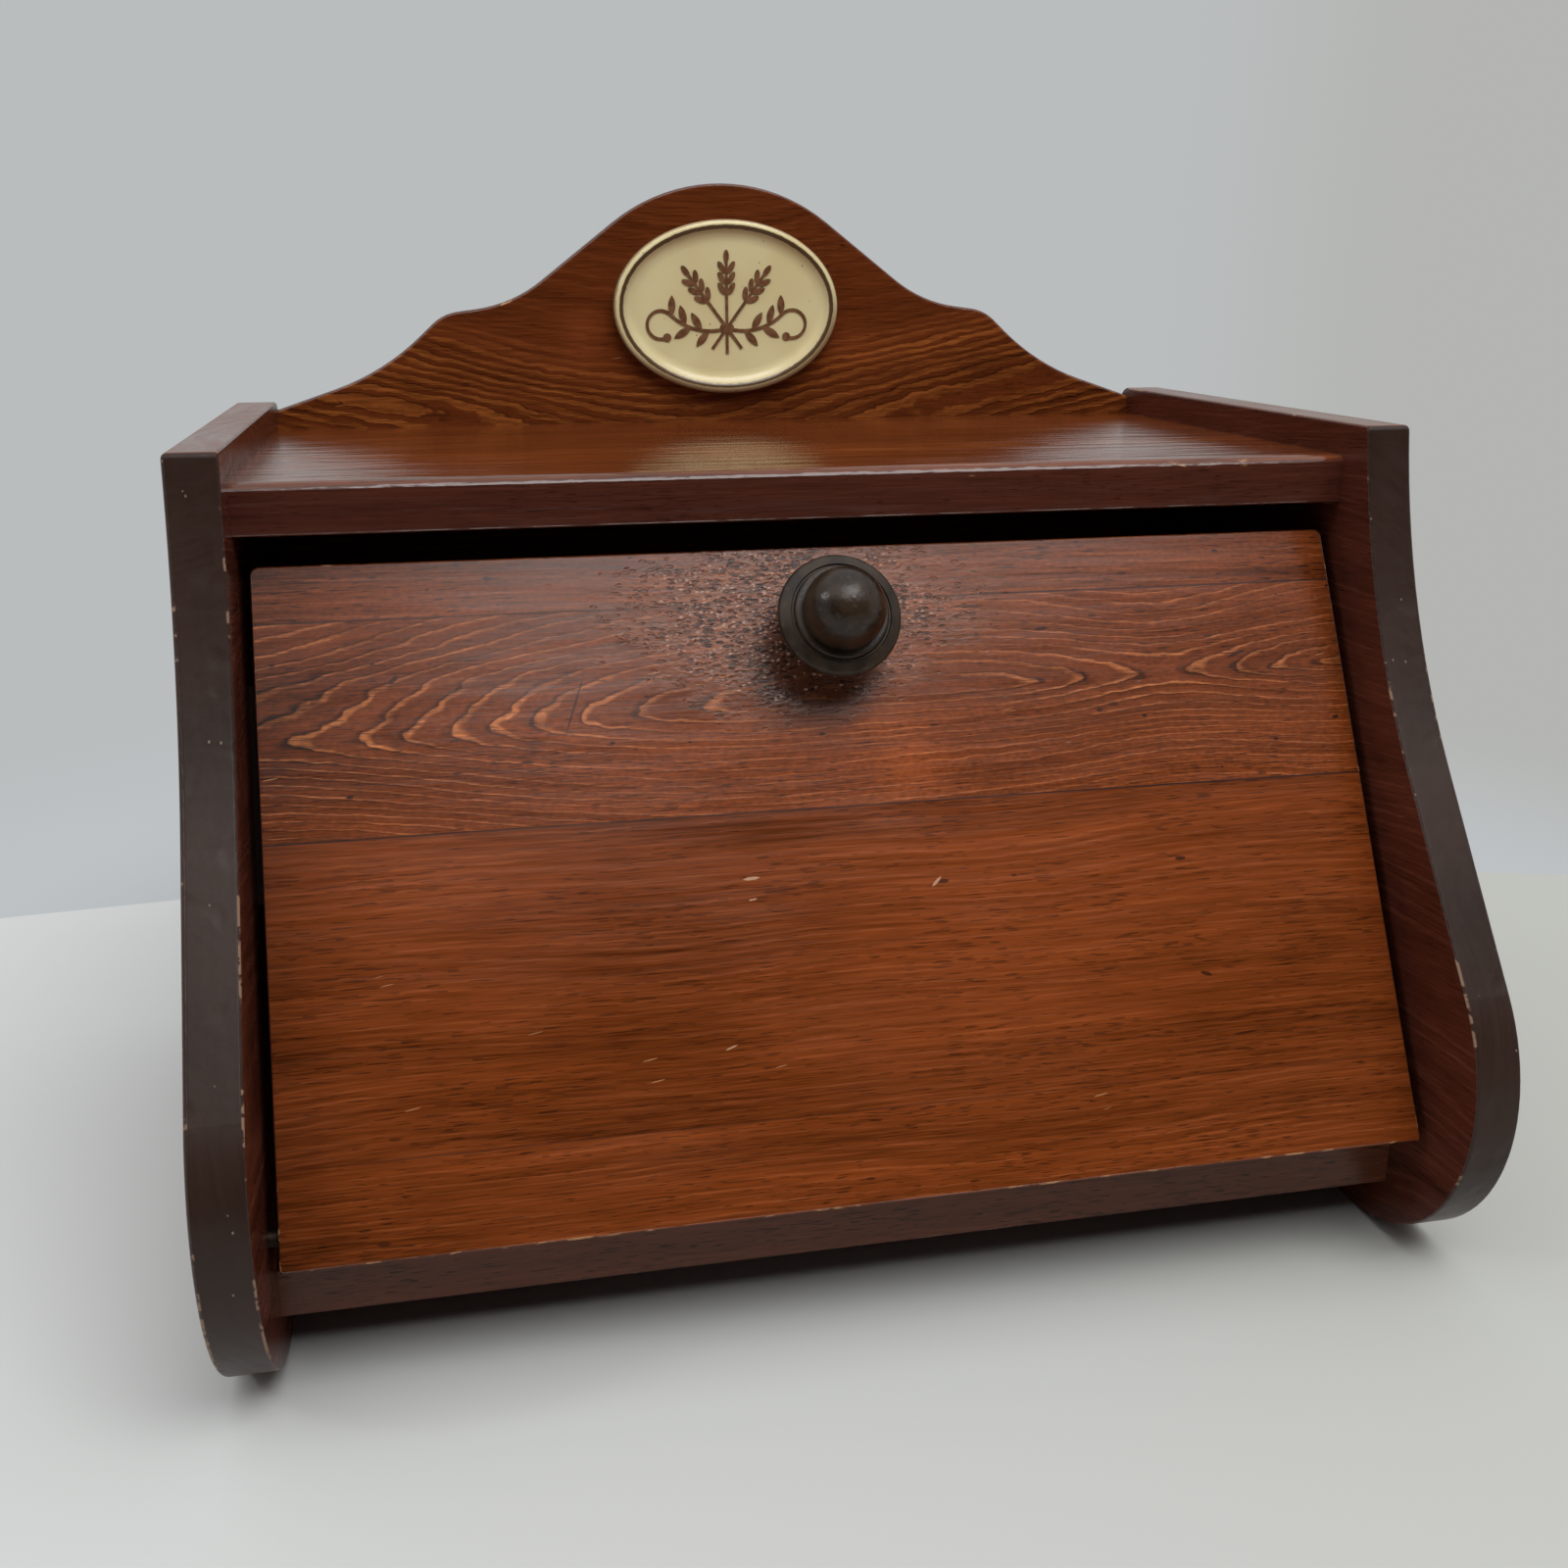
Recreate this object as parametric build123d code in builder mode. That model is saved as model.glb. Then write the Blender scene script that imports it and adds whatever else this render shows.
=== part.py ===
from build123d import *
import os
from math import asin, atan2, cos, degrees, radians, sin, tan

# Bread box with a drop front, in millimetres. X runs to the right as the box is
# faced, Y runs to the back, Z is up, and the origin is on the table under its middle.

# Overall box
width = 406.0
depth = 314.6
side_height = 275.0

# Side boards: round belly at the foot, straight flank, hollow sweep to the brow
side_thick = 16.4
belly_radius = 65.0
flank_lean = 36.0
flank_length = 79.0
brow_setback = 103.2
rear_corner_radius = 8.0
front_corner_radius = 2.1
outer_arris = 2.0
inner_arris = 1.2

# Top shelf
shelf_thick = 16.4
shelf_drop = 11.0
shelf_setback = 13.0
shelf_nose_radius = 4.0

# Bottom board
bottom_thick = 16.4
bottom_lift = 19.5
bottom_setback = 43.0
small_arris = 0.9

# Back, made of three boards glued edge to edge, the top one cut as the crest
back_thick = 9.5
crest_peak_rise = 86.0
crest_peak_radius = 75.0
crest_flank_angle = 37.2
crest_notch_reach = 88.3
crest_notch_radius = 58.0
shoulder_reach = 117.1
shoulder_rise = 34.4
shoulder_radius = 19.0
crest_end_drop = 3.4
sweep_bend_along = 0.364
sweep_bend_down = 0.61
crest_sweep_radius = 100.0
crest_arris = 1.6
crest_board_lap = 26.0
crest_run_share = 0.95

# Drop front, made of four boards glued edge to edge
door_thick = 16.4
door_lean = 28.07
door_heel_setback = 20.9
door_heel_lift = 12.8
door_head_gap = 9.9
door_end_gap = 3.5
foot_strip_width = 29.0
knob_board_width = 69.6
head_strip_width = 18.9
door_arris = 1.0
door_corner_radius = 3.0

# Turned knob, its heights measured off the face of the drop front
knob_below_head = 29.0
knob_foot_radius = 12.2
knob_foot_height = 3.0
knob_foot_round = 0.8
knob_waist_radius = 8.8
knob_waist_height = 7.4
knob_cove_foot = 1.6
knob_cove_head = 3.0
knob_flange_radius = 20.3
knob_flange_height = 16.4
knob_flange_edge = 4.2
knob_flange_round = 1.6
knob_flange_dish = 2.6
knob_flange_crown = 1.0
knob_groove_width = 1.1
knob_groove_depth = 0.6
knob_collar_radius = 15.4
knob_collar_height = 21.2
knob_collar_round = 0.9
knob_ball_radius = 13.3
knob_ball_height = 24.3

# Knob screw
screw_radius = 2.1
screw_head_radius = 4.3
screw_head_height = 2.4
screw_bite = 13.0
screw_point = 4.2
screw_slot_width = 0.9
screw_slot_depth = 1.1

# Hinge pins
pin_radius = 2.5
pin_head_radius = 4.6
pin_head_height = 2.3
pin_bite = 15.0
pin_tip = 0.8
pivot_above_heel = 10.0

# Stops glued and nailed to the sides behind the drop front
stop_section = 12.0
stop_length = 70.0
stop_below_head = 34.0

# Dowels and brads
dowel_radius = 4.0
dowel_in_side = 10.0
dowel_in_board = 20.0
dowel_end_space = 0.5
dowel_inset = 30.0
brad_radius = 0.8
brad_head_radius = 1.7
brad_head_height = 0.8
back_brad_length = 28.0
back_brad_inset = 40.0
back_brad_count = 5
stop_brad_length = 20.0
stop_brad_inset = 14.0

# Oval stoneware plaque
plaque_width = 96.0
plaque_height = 70.6
plaque_offset = 1.0
plaque_center_rise = 36.4
plaque_field_thick = 3.4
plaque_rim_rise = 2.6
plaque_rim_wall = 0.9
plaque_rim_width = 2.2
plaque_dish_run = 9.0
plaque_bend_run = 1.8
plaque_bend_drop = 0.7
plaque_back_arris = 1.2
glue_pad_width = 52.0
glue_pad_height = 30.0
glue_pad_thick = 0.8

# Ornament on the plaque: wheat ears tied over a pair of leafy scrolls
ornament_rise = 0.45
stroke_width = 1.25
ear_length = 29.0
ear_splay = 37.0
stalk_tail = 10.5
grain_length = 5.4
grain_width = 2.3
grain_pitch = 4.3
grain_offset = 2.1
grain_cant = 30.0
grain_rows = 3
tie_below_middle = 8.5
tie_width = 6.0
tie_height = 3.2
tie_corner = 1.3
scroll_dip = 16.7
scroll_radius = 25.0
scroll_turn = 60.0
curl_radius = 5.8
curl_turn = 250.0
berry_radius = 1.7
leaf_length = 8.4
leaf_width = 3.0
leaf_belly = 3.8
leaf_turn = 50.0

# Where the leaves grow, as shares of the way along each scroll's stalk
leaves_above = (0.42, 0.70, 0.96)
leaves_below = (0.30, 0.60)

# Clearances
fit_gap = 0.05
blind_gap = 1.0

# Places that several pieces share
inner_half = width / 2 - side_thick
front_y = -depth / 2
rear_y = depth / 2
brow_y = front_y + brow_setback
shelf_top = side_height - shelf_drop
shelf_under = shelf_top - shelf_thick
shelf_front = brow_y + shelf_setback
bottom_top = bottom_lift + bottom_thick
bottom_front = front_y + bottom_setback
back_front = rear_y - back_thick

# Plane of the drop front: origin at the middle of its lower face edge, local Y up the slope
lean = radians(door_lean)
heel_y = front_y + door_heel_setback
heel_z = bottom_top + door_heel_lift
door_length = (shelf_under - door_head_gap - heel_z) / cos(lean)
door_half = inner_half - door_end_gap
door_plane = Plane(
    origin=(0, heel_y, heel_z), x_dir=(1, 0, 0), z_dir=(0, -cos(lean), sin(lean))
)
door_back_plane = door_plane.offset(-door_thick)
up_slope = Axis((0, 0, 0), (0, sin(lean), cos(lean)))
through_door = Axis((0, 0, 0), (0, -cos(lean), sin(lean)))
pivot = door_plane.from_local_coords(Vector(0, pivot_above_heel, -door_thick / 2))
knob_seat = door_length - knob_below_head

# Where the dowels stand, front to back, at each end of the shelf and of the bottom board
shelf_dowel_z = shelf_top - shelf_thick / 2
bottom_dowel_z = bottom_lift + bottom_thick / 2
shelf_dowel_spots = [
    (y, shelf_dowel_z)
    for y in (
        shelf_front + dowel_inset,
        (shelf_front + back_front) / 2,
        back_front - dowel_inset,
    )
]
bottom_dowel_spots = [
    (y, bottom_dowel_z)
    for y in (
        bottom_front + dowel_inset,
        (bottom_front + back_front) / 2,
        back_front - dowel_inset,
    )
]
dowel_spots = shelf_dowel_spots + bottom_dowel_spots

# Spacing of the brads that hold the back
back_brad_pitch = 2 * (inner_half - back_brad_inset) / (back_brad_count - 1)

# Stops, placed on the plane of the back face of the drop front
stop_top = door_length - stop_below_head
stop_middle = stop_top - stop_length / 2
stop_brad_spots = []
for along in (stop_middle - stop_length / 2 + stop_brad_inset, stop_top - stop_brad_inset):
    spot = door_back_plane.from_local_coords(Vector(0, along, -stop_section / 2))
    stop_brad_spots.append((spot.Y, spot.Z))

# Left side board
with BuildPart() as left_side:
    with BuildSketch(Plane.YZ.offset(-width / 2)) as side_profile:
        with BuildLine():
            foot = Line((rear_y, 0), (front_y + belly_radius, 0))
            belly = JernArc(foot @ 1, (-1, 0), belly_radius, -90 - flank_lean)
            flank = PolarLine(belly @ 1, flank_length, direction=belly % 1)
            sweep_up = TangentArc(flank @ 1, (brow_y, side_height), tangent=flank % 1)
            Polyline(sweep_up @ 1, (rear_y, side_height), (rear_y, 0))
        make_face()
        rear_corners = side_profile.vertices().group_by(Axis.X)[-1].sort_by(Axis.Y)
        fillet(rear_corners[-1], rear_corner_radius)
        fillet(rear_corners[0], front_corner_radius)
        top_corners = side_profile.vertices().group_by(Axis.Y)[-1].sort_by(Axis.X)
        fillet(top_corners[0], front_corner_radius)
    extrude(amount=side_thick)
    fillet(left_side.faces().sort_by(Axis.X)[0].edges(), outer_arris)
    fillet(left_side.faces().sort_by(Axis.X)[-1].edges(), inner_arris)
    # Blind holes for the dowels
    with BuildSketch(Plane.YZ.offset(-inner_half)):
        with Locations(*dowel_spots):
            Circle(dowel_radius + fit_gap)
    extrude(amount=-dowel_in_side - dowel_end_space, mode=Mode.SUBTRACT)
    # Hinge pin hole, sunk on the outside for the pin's head
    with BuildSketch(Plane.YZ.offset(-inner_half)):
        with Locations((pivot.Y, pivot.Z)):
            Circle(pin_radius + fit_gap)
    extrude(amount=-side_thick, mode=Mode.SUBTRACT)
    with BuildSketch(Plane.YZ.offset(-width / 2)):
        with Locations((pivot.Y, pivot.Z)):
            Circle(pin_head_radius + fit_gap)
    with BuildSketch(Plane.YZ.offset(-width / 2 + pin_head_height)):
        with Locations((pivot.Y, pivot.Z)):
            Circle(pin_radius + fit_gap)
    loft(mode=Mode.SUBTRACT)
    # Pilot holes for the brads of the stop
    with BuildSketch(Plane.YZ.offset(-inner_half)):
        with Locations(*stop_brad_spots):
            Circle(brad_radius + fit_gap)
    extrude(amount=-(stop_brad_length - stop_section) - blind_gap, mode=Mode.SUBTRACT)
left_side.part.label = "left_side"

# Right side board, the mirror image
with BuildPart() as right_side:
    mirror(left_side.part, about=Plane.YZ)
right_side.part.label = "right_side"

# Top shelf, with a rounded nose
with BuildPart() as top_shelf:
    with BuildSketch(Plane.YZ):
        with Locations(((shelf_front + back_front) / 2, shelf_dowel_z)):
            Rectangle(back_front - shelf_front, shelf_thick)
    extrude(amount=inner_half, both=True)
    nose = top_shelf.faces().sort_by(Axis.Y)[0].edges().filter_by(Axis.X).sort_by(Axis.Z)
    fillet(nose[-1], shelf_nose_radius)
    fillet(nose[0], small_arris)
    with BuildSketch(Plane.YZ.offset(inner_half)):
        with Locations(*shelf_dowel_spots):
            Circle(dowel_radius + fit_gap)
    shelf_bores = extrude(amount=-dowel_in_board - dowel_end_space, mode=Mode.SUBTRACT)
    mirror(shelf_bores, about=Plane.YZ, mode=Mode.SUBTRACT)
    with BuildSketch(Plane.XZ.offset(-back_front)):
        with Locations((0, shelf_dowel_z)):
            with GridLocations(back_brad_pitch, 1, back_brad_count, 1):
                Circle(brad_radius + fit_gap)
    extrude(amount=back_brad_length - back_thick + blind_gap, mode=Mode.SUBTRACT)
top_shelf.part.label = "top_shelf"

# Bottom board
with BuildPart() as bottom_board:
    with BuildSketch(Plane.YZ):
        with Locations(((bottom_front + back_front) / 2, bottom_dowel_z)):
            Rectangle(back_front - bottom_front, bottom_thick)
    extrude(amount=inner_half, both=True)
    fillet(
        bottom_board.faces().sort_by(Axis.Y)[0].edges().filter_by(Axis.X), small_arris
    )
    with BuildSketch(Plane.YZ.offset(inner_half)):
        with Locations(*bottom_dowel_spots):
            Circle(dowel_radius + fit_gap)
    bottom_bores = extrude(amount=-dowel_in_board - dowel_end_space, mode=Mode.SUBTRACT)
    mirror(bottom_bores, about=Plane.YZ, mode=Mode.SUBTRACT)
    with BuildSketch(Plane.XZ.offset(-back_front)):
        with Locations((0, bottom_dowel_z)):
            with GridLocations(back_brad_pitch, 1, back_brad_count, 1):
                Circle(brad_radius + fit_gap)
    extrude(amount=back_brad_length - back_thick + blind_gap, mode=Mode.SUBTRACT)
bottom_board.part.label = "bottom_board"


# Rounds that meet on one run of an outline share its length
def rounds_within_runs(corners, radii):
    """Radii for the rounds at the inner corners, eased where two would meet on one run."""
    points = [Vector(*corner) for corner in corners]
    runs = [after - before for before, after in zip(points, points[1:])]
    turns = [radians(one.get_angle(other)) for one, other in zip(runs, runs[1:])]
    spans = [0, *[radius * tan(turn / 2) for radius, turn in zip(radii, turns)], 0]
    room = [
        crest_run_share * run.length / (spans[i] + spans[i + 1])
        for i, run in enumerate(runs)
    ]
    return [
        radius * min(1, room[i], room[i + 1])
        for i, radius in enumerate(radii)
    ]


# Crest board: a rounded peak, straight flanks, small shoulders, hollow sweeps to the sides
flank_angle = radians(crest_flank_angle)
peak_z = side_height + crest_peak_rise
apex_z = peak_z + crest_peak_radius * (1 / cos(flank_angle) - 1)
notch_z = apex_z - crest_notch_reach * tan(flank_angle)
shoulder_z = side_height + shoulder_rise
crest_end_z = side_height - crest_end_drop
sweep_bend_x = shoulder_reach + (inner_half - shoulder_reach) * sweep_bend_along
sweep_bend_z = shoulder_z - (shoulder_z - crest_end_z) * sweep_bend_down
crest_foot_z = shelf_under - crest_board_lap
back_seam_z = (bottom_lift + crest_foot_z) / 2
crest_corners = [
    (0, apex_z),
    (crest_notch_reach, notch_z),
    (shoulder_reach, shoulder_z),
    (sweep_bend_x, sweep_bend_z),
    (inner_half, crest_end_z),
]
crest_outline = [(-x, z) for x, z in reversed(crest_corners[1:])] + crest_corners
crest_half_radii = [crest_notch_radius, shoulder_radius, crest_sweep_radius]
crest_radii = [*reversed(crest_half_radii), crest_peak_radius, *crest_half_radii]
with BuildPart() as crest_board:
    with BuildSketch(Plane.XZ.offset(-rear_y)):
        with BuildLine():
            crest_line = FilletPolyline(
                *crest_outline, radius=rounds_within_runs(crest_outline, crest_radii)
            )
            Polyline(
                crest_line @ 1,
                (inner_half, crest_foot_z),
                (-inner_half, crest_foot_z),
                crest_line @ 0,
            )
        make_face()
    extrude(amount=back_thick)
    for face in (crest_board.faces().sort_by(Axis.Y)[0], crest_board.faces().sort_by(Axis.Y)[-1]):
        upper_edges = face.edges().filter_by(Axis.Z, reverse=True).sort_by(Axis.Z)[1:]
        fillet(upper_edges, crest_arris)
    with BuildSketch(Plane.XZ.offset(-rear_y)):
        with Locations((0, shelf_dowel_z)):
            with GridLocations(back_brad_pitch, 1, back_brad_count, 1):
                Circle(brad_radius + fit_gap)
    extrude(amount=back_thick, mode=Mode.SUBTRACT)
    with BuildSketch(Plane.XZ.offset(-rear_y)):
        with Locations((0, shelf_dowel_z)):
            with GridLocations(back_brad_pitch, 1, back_brad_count, 1):
                Circle(brad_head_radius + fit_gap)
    extrude(amount=brad_head_height, mode=Mode.SUBTRACT)
crest_board.part.label = "crest_board"

# Middle and lower back boards
with BuildPart() as back_board_middle:
    with BuildSketch(Plane.XZ.offset(-rear_y)):
        with Locations((0, (back_seam_z + crest_foot_z) / 2)):
            Rectangle(2 * inner_half, crest_foot_z - back_seam_z)
    extrude(amount=back_thick)
back_board_middle.part.label = "back_board_middle"

with BuildPart() as back_board_lower:
    with BuildSketch(Plane.XZ.offset(-rear_y)):
        with Locations((0, (bottom_lift + back_seam_z) / 2)):
            Rectangle(2 * inner_half, back_seam_z - bottom_lift)
    extrude(amount=back_thick)
    with BuildSketch(Plane.XZ.offset(-rear_y)):
        with Locations((0, bottom_dowel_z)):
            with GridLocations(back_brad_pitch, 1, back_brad_count, 1):
                Circle(brad_radius + fit_gap)
    extrude(amount=back_thick, mode=Mode.SUBTRACT)
    with BuildSketch(Plane.XZ.offset(-rear_y)):
        with Locations((0, bottom_dowel_z)):
            with GridLocations(back_brad_pitch, 1, back_brad_count, 1):
                Circle(brad_head_radius + fit_gap)
    extrude(amount=brad_head_height, mode=Mode.SUBTRACT)
back_board_lower.part.label = "back_board_lower"

# Drop front: foot strip, which turns on the hinge pins
knob_board_foot = door_length - head_strip_width - knob_board_width
with BuildPart() as door_foot_strip:
    with BuildSketch(door_plane):
        with Locations((0, foot_strip_width / 2)):
            Rectangle(2 * door_half, foot_strip_width)
    extrude(amount=-door_thick)
    fillet(door_foot_strip.edges().filter_by(up_slope), door_arris)
    fillet(door_foot_strip.faces().sort_by(up_slope)[0].edges().filter_by(Axis.X), door_arris)
    with BuildSketch(Plane.YZ.offset(door_half)):
        with Locations((pivot.Y, pivot.Z)):
            Circle(pin_radius + fit_gap)
    pin_bore = extrude(amount=-pin_bite - blind_gap, mode=Mode.SUBTRACT)
    mirror(pin_bore, about=Plane.YZ, mode=Mode.SUBTRACT)
door_foot_strip.part.label = "door_foot_strip"

# Drop front: wide board
with BuildPart() as door_wide_board:
    with BuildSketch(door_plane):
        with Locations((0, (foot_strip_width + knob_board_foot) / 2)):
            Rectangle(2 * door_half, knob_board_foot - foot_strip_width)
    extrude(amount=-door_thick)
    fillet(door_wide_board.edges().filter_by(up_slope), door_arris)
door_wide_board.part.label = "door_wide_board"

# Drop front: knob board, bored and countersunk from behind for the knob screw
with BuildPart() as door_knob_board:
    with BuildSketch(door_plane):
        with Locations((0, knob_board_foot + knob_board_width / 2)):
            Rectangle(2 * door_half, knob_board_width)
    extrude(amount=-door_thick)
    fillet(door_knob_board.edges().filter_by(up_slope), door_arris)
    with BuildSketch(door_plane):
        with Locations((0, knob_seat)):
            Circle(screw_radius + fit_gap)
    extrude(amount=-door_thick, mode=Mode.SUBTRACT)
    with BuildSketch(door_back_plane):
        with Locations((0, knob_seat)):
            Circle(screw_head_radius + fit_gap)
    with BuildSketch(door_back_plane.offset(screw_head_height)):
        with Locations((0, knob_seat)):
            Circle(screw_radius + fit_gap)
    loft(mode=Mode.SUBTRACT)
door_knob_board.part.label = "door_knob_board"

# Drop front: head strip with rounded corners
with BuildPart() as door_head_strip:
    with BuildSketch(door_plane) as head_profile:
        with Locations((0, door_length - head_strip_width / 2)):
            Rectangle(2 * door_half, head_strip_width)
        fillet(head_profile.vertices().group_by(Axis.Y)[-1], door_corner_radius)
    extrude(amount=-door_thick)
    for face in (
        door_head_strip.faces().sort_by(through_door)[0],
        door_head_strip.faces().sort_by(through_door)[-1],
    ):
        fillet(face.edges().sort_by(up_slope)[1:], door_arris)
door_head_strip.part.label = "door_head_strip"

# Turned knob: foot, neck, wide flange, collar and ball
knob_plane = Plane(
    origin=door_plane.from_local_coords(Vector(0, knob_seat, 0)),
    x_dir=(1, 0, 0),
    z_dir=(0, -sin(lean), -cos(lean)),
)
knob_axis = Axis(knob_plane.origin, door_plane.z_dir)
flange_under = knob_flange_height - knob_flange_edge / 2
flange_over = knob_flange_height + knob_flange_edge / 2
groove_edge = flange_over + knob_flange_crown
ball_start = degrees(asin((knob_collar_height - knob_ball_height) / knob_ball_radius))
with BuildPart() as knob:
    with BuildSketch(knob_plane):
        with BuildLine():
            foot_line = Line((0, 0), (knob_foot_radius - knob_foot_round, 0))
            foot_round = ThreePointArc(
                foot_line @ 1,
                (knob_foot_radius, knob_foot_height / 2),
                (knob_foot_radius - knob_foot_round, knob_foot_height),
            )
            foot_step = Line(foot_round @ 1, (knob_waist_radius + knob_cove_foot, knob_foot_height))
            cove = ThreePointArc(
                foot_step @ 1,
                (knob_waist_radius, knob_waist_height),
                (knob_waist_radius + knob_cove_head, flange_under - knob_flange_dish),
            )
            under = Line(cove @ 1, (knob_flange_radius - knob_flange_round, flange_under))
            flange = ThreePointArc(
                under @ 1,
                (knob_flange_radius, knob_flange_height),
                (knob_flange_radius - knob_flange_round, flange_over),
            )
            over = Line(flange @ 1, (knob_collar_radius + knob_groove_width, groove_edge))
            groove = ThreePointArc(
                over @ 1,
                (knob_collar_radius + knob_groove_width / 2, groove_edge - knob_groove_depth),
                (knob_collar_radius, groove_edge),
            )
            collar_side = Line(
                groove @ 1, (knob_collar_radius, knob_collar_height - knob_collar_round)
            )
            collar_top = TangentArc(
                collar_side @ 1,
                (knob_collar_radius - knob_collar_round, knob_collar_height),
                tangent=(0, 1),
            )
            seat = Line(
                collar_top @ 1,
                (knob_ball_radius * cos(radians(ball_start)), knob_collar_height),
            )
            ball = CenterArc(
                (0, knob_ball_height), knob_ball_radius, ball_start, 90 - ball_start
            )
            Line(ball @ 1, (0, 0))
        make_face()
    revolve(axis=knob_axis)
    with BuildSketch(door_plane):
        with Locations((0, knob_seat)):
            Circle(screw_radius + fit_gap)
    extrude(amount=screw_bite + blind_gap, mode=Mode.SUBTRACT)
knob.part.label = "knob"

# Slotted screw that holds the knob from behind
with BuildPart() as knob_screw:
    with BuildSketch(knob_plane):
        with BuildLine():
            Polyline(
                (0, -door_thick),
                (screw_head_radius, -door_thick),
                (screw_radius, screw_head_height - door_thick),
                (screw_radius, screw_bite - screw_point),
                (0, screw_bite),
                close=True,
            )
        make_face()
    revolve(axis=knob_axis)
    with BuildSketch(door_back_plane):
        with Locations((0, knob_seat)):
            Rectangle(2 * screw_head_radius, screw_slot_width)
    extrude(amount=screw_slot_depth, mode=Mode.SUBTRACT)
knob_screw.part.label = "knob_screw"

# Hinge pins, driven from outside through the sides into the foot strip
pin_length = side_thick + door_end_gap + pin_bite
pin_plane = Plane(
    origin=(-width / 2, pivot.Y, pivot.Z), x_dir=(1, 0, 0), z_dir=(0, -1, 0)
)
with BuildPart() as hinge_pin_left:
    with BuildSketch(pin_plane):
        with BuildLine():
            Polyline(
                (0, 0),
                (0, pin_head_radius),
                (pin_head_height, pin_radius),
                (pin_length - pin_tip, pin_radius),
                (pin_length, pin_radius - pin_tip),
                (pin_length, 0),
                close=True,
            )
        make_face()
    revolve(axis=Axis(pin_plane.origin, (1, 0, 0)))
hinge_pin_left.part.label = "hinge_pin_left"

with BuildPart() as hinge_pin_right:
    mirror(hinge_pin_left.part, about=Plane.YZ)
hinge_pin_right.part.label = "hinge_pin_right"

# Stops that the shut drop front leans on
with BuildPart() as door_stop_left:
    with BuildSketch(door_back_plane):
        with Locations((stop_section / 2 - inner_half, stop_middle)):
            Rectangle(stop_section, stop_length)
    extrude(amount=-stop_section)
    with BuildSketch(Plane.YZ.offset(stop_section - inner_half)):
        with Locations(*stop_brad_spots):
            Circle(brad_radius + fit_gap)
    extrude(amount=-stop_section, mode=Mode.SUBTRACT)
    with BuildSketch(Plane.YZ.offset(stop_section - inner_half)):
        with Locations(*stop_brad_spots):
            Circle(brad_head_radius + fit_gap)
    extrude(amount=-brad_head_height, mode=Mode.SUBTRACT)
door_stop_left.part.label = "door_stop_left"

with BuildPart() as door_stop_right:
    mirror(door_stop_left.part, about=Plane.YZ)
door_stop_right.part.label = "door_stop_right"

# Brads that nail the stops to the sides
with BuildPart() as stop_brads:
    with BuildSketch(Plane.YZ.offset(stop_section - inner_half)):
        with Locations(*stop_brad_spots):
            Circle(brad_radius)
    extrude(amount=-stop_brad_length)
    with BuildSketch(Plane.YZ.offset(stop_section - inner_half)):
        with Locations(*stop_brad_spots):
            Circle(brad_head_radius)
    extrude(amount=-brad_head_height)
    mirror(about=Plane.YZ)
stop_brads.part.label = "stop_brads"

# Brads that nail the back to the shelf and to the bottom board
with BuildPart() as back_brads:
    with BuildSketch(Plane.XZ.offset(-rear_y)):
        with Locations((0, shelf_dowel_z), (0, bottom_dowel_z)):
            with GridLocations(back_brad_pitch, 1, back_brad_count, 1):
                Circle(brad_radius)
    extrude(amount=back_brad_length)
    with BuildSketch(Plane.XZ.offset(-rear_y)):
        with Locations((0, shelf_dowel_z), (0, bottom_dowel_z)):
            with GridLocations(back_brad_pitch, 1, back_brad_count, 1):
                Circle(brad_head_radius)
    extrude(amount=brad_head_height)
back_brads.part.label = "back_brads"

# Dowels that join the shelf and the bottom board to the sides
with BuildPart() as shelf_dowels:
    with BuildSketch(Plane.YZ.offset(inner_half - dowel_in_board)):
        with Locations(*shelf_dowel_spots):
            Circle(dowel_radius)
    extrude(amount=dowel_in_board + dowel_in_side)
    mirror(about=Plane.YZ)
shelf_dowels.part.label = "shelf_dowels"

with BuildPart() as bottom_dowels:
    with BuildSketch(Plane.YZ.offset(inner_half - dowel_in_board)):
        with Locations(*bottom_dowel_spots):
            Circle(dowel_radius)
    extrude(amount=dowel_in_board + dowel_in_side)
    mirror(about=Plane.YZ)
bottom_dowels.part.label = "bottom_dowels"

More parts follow.
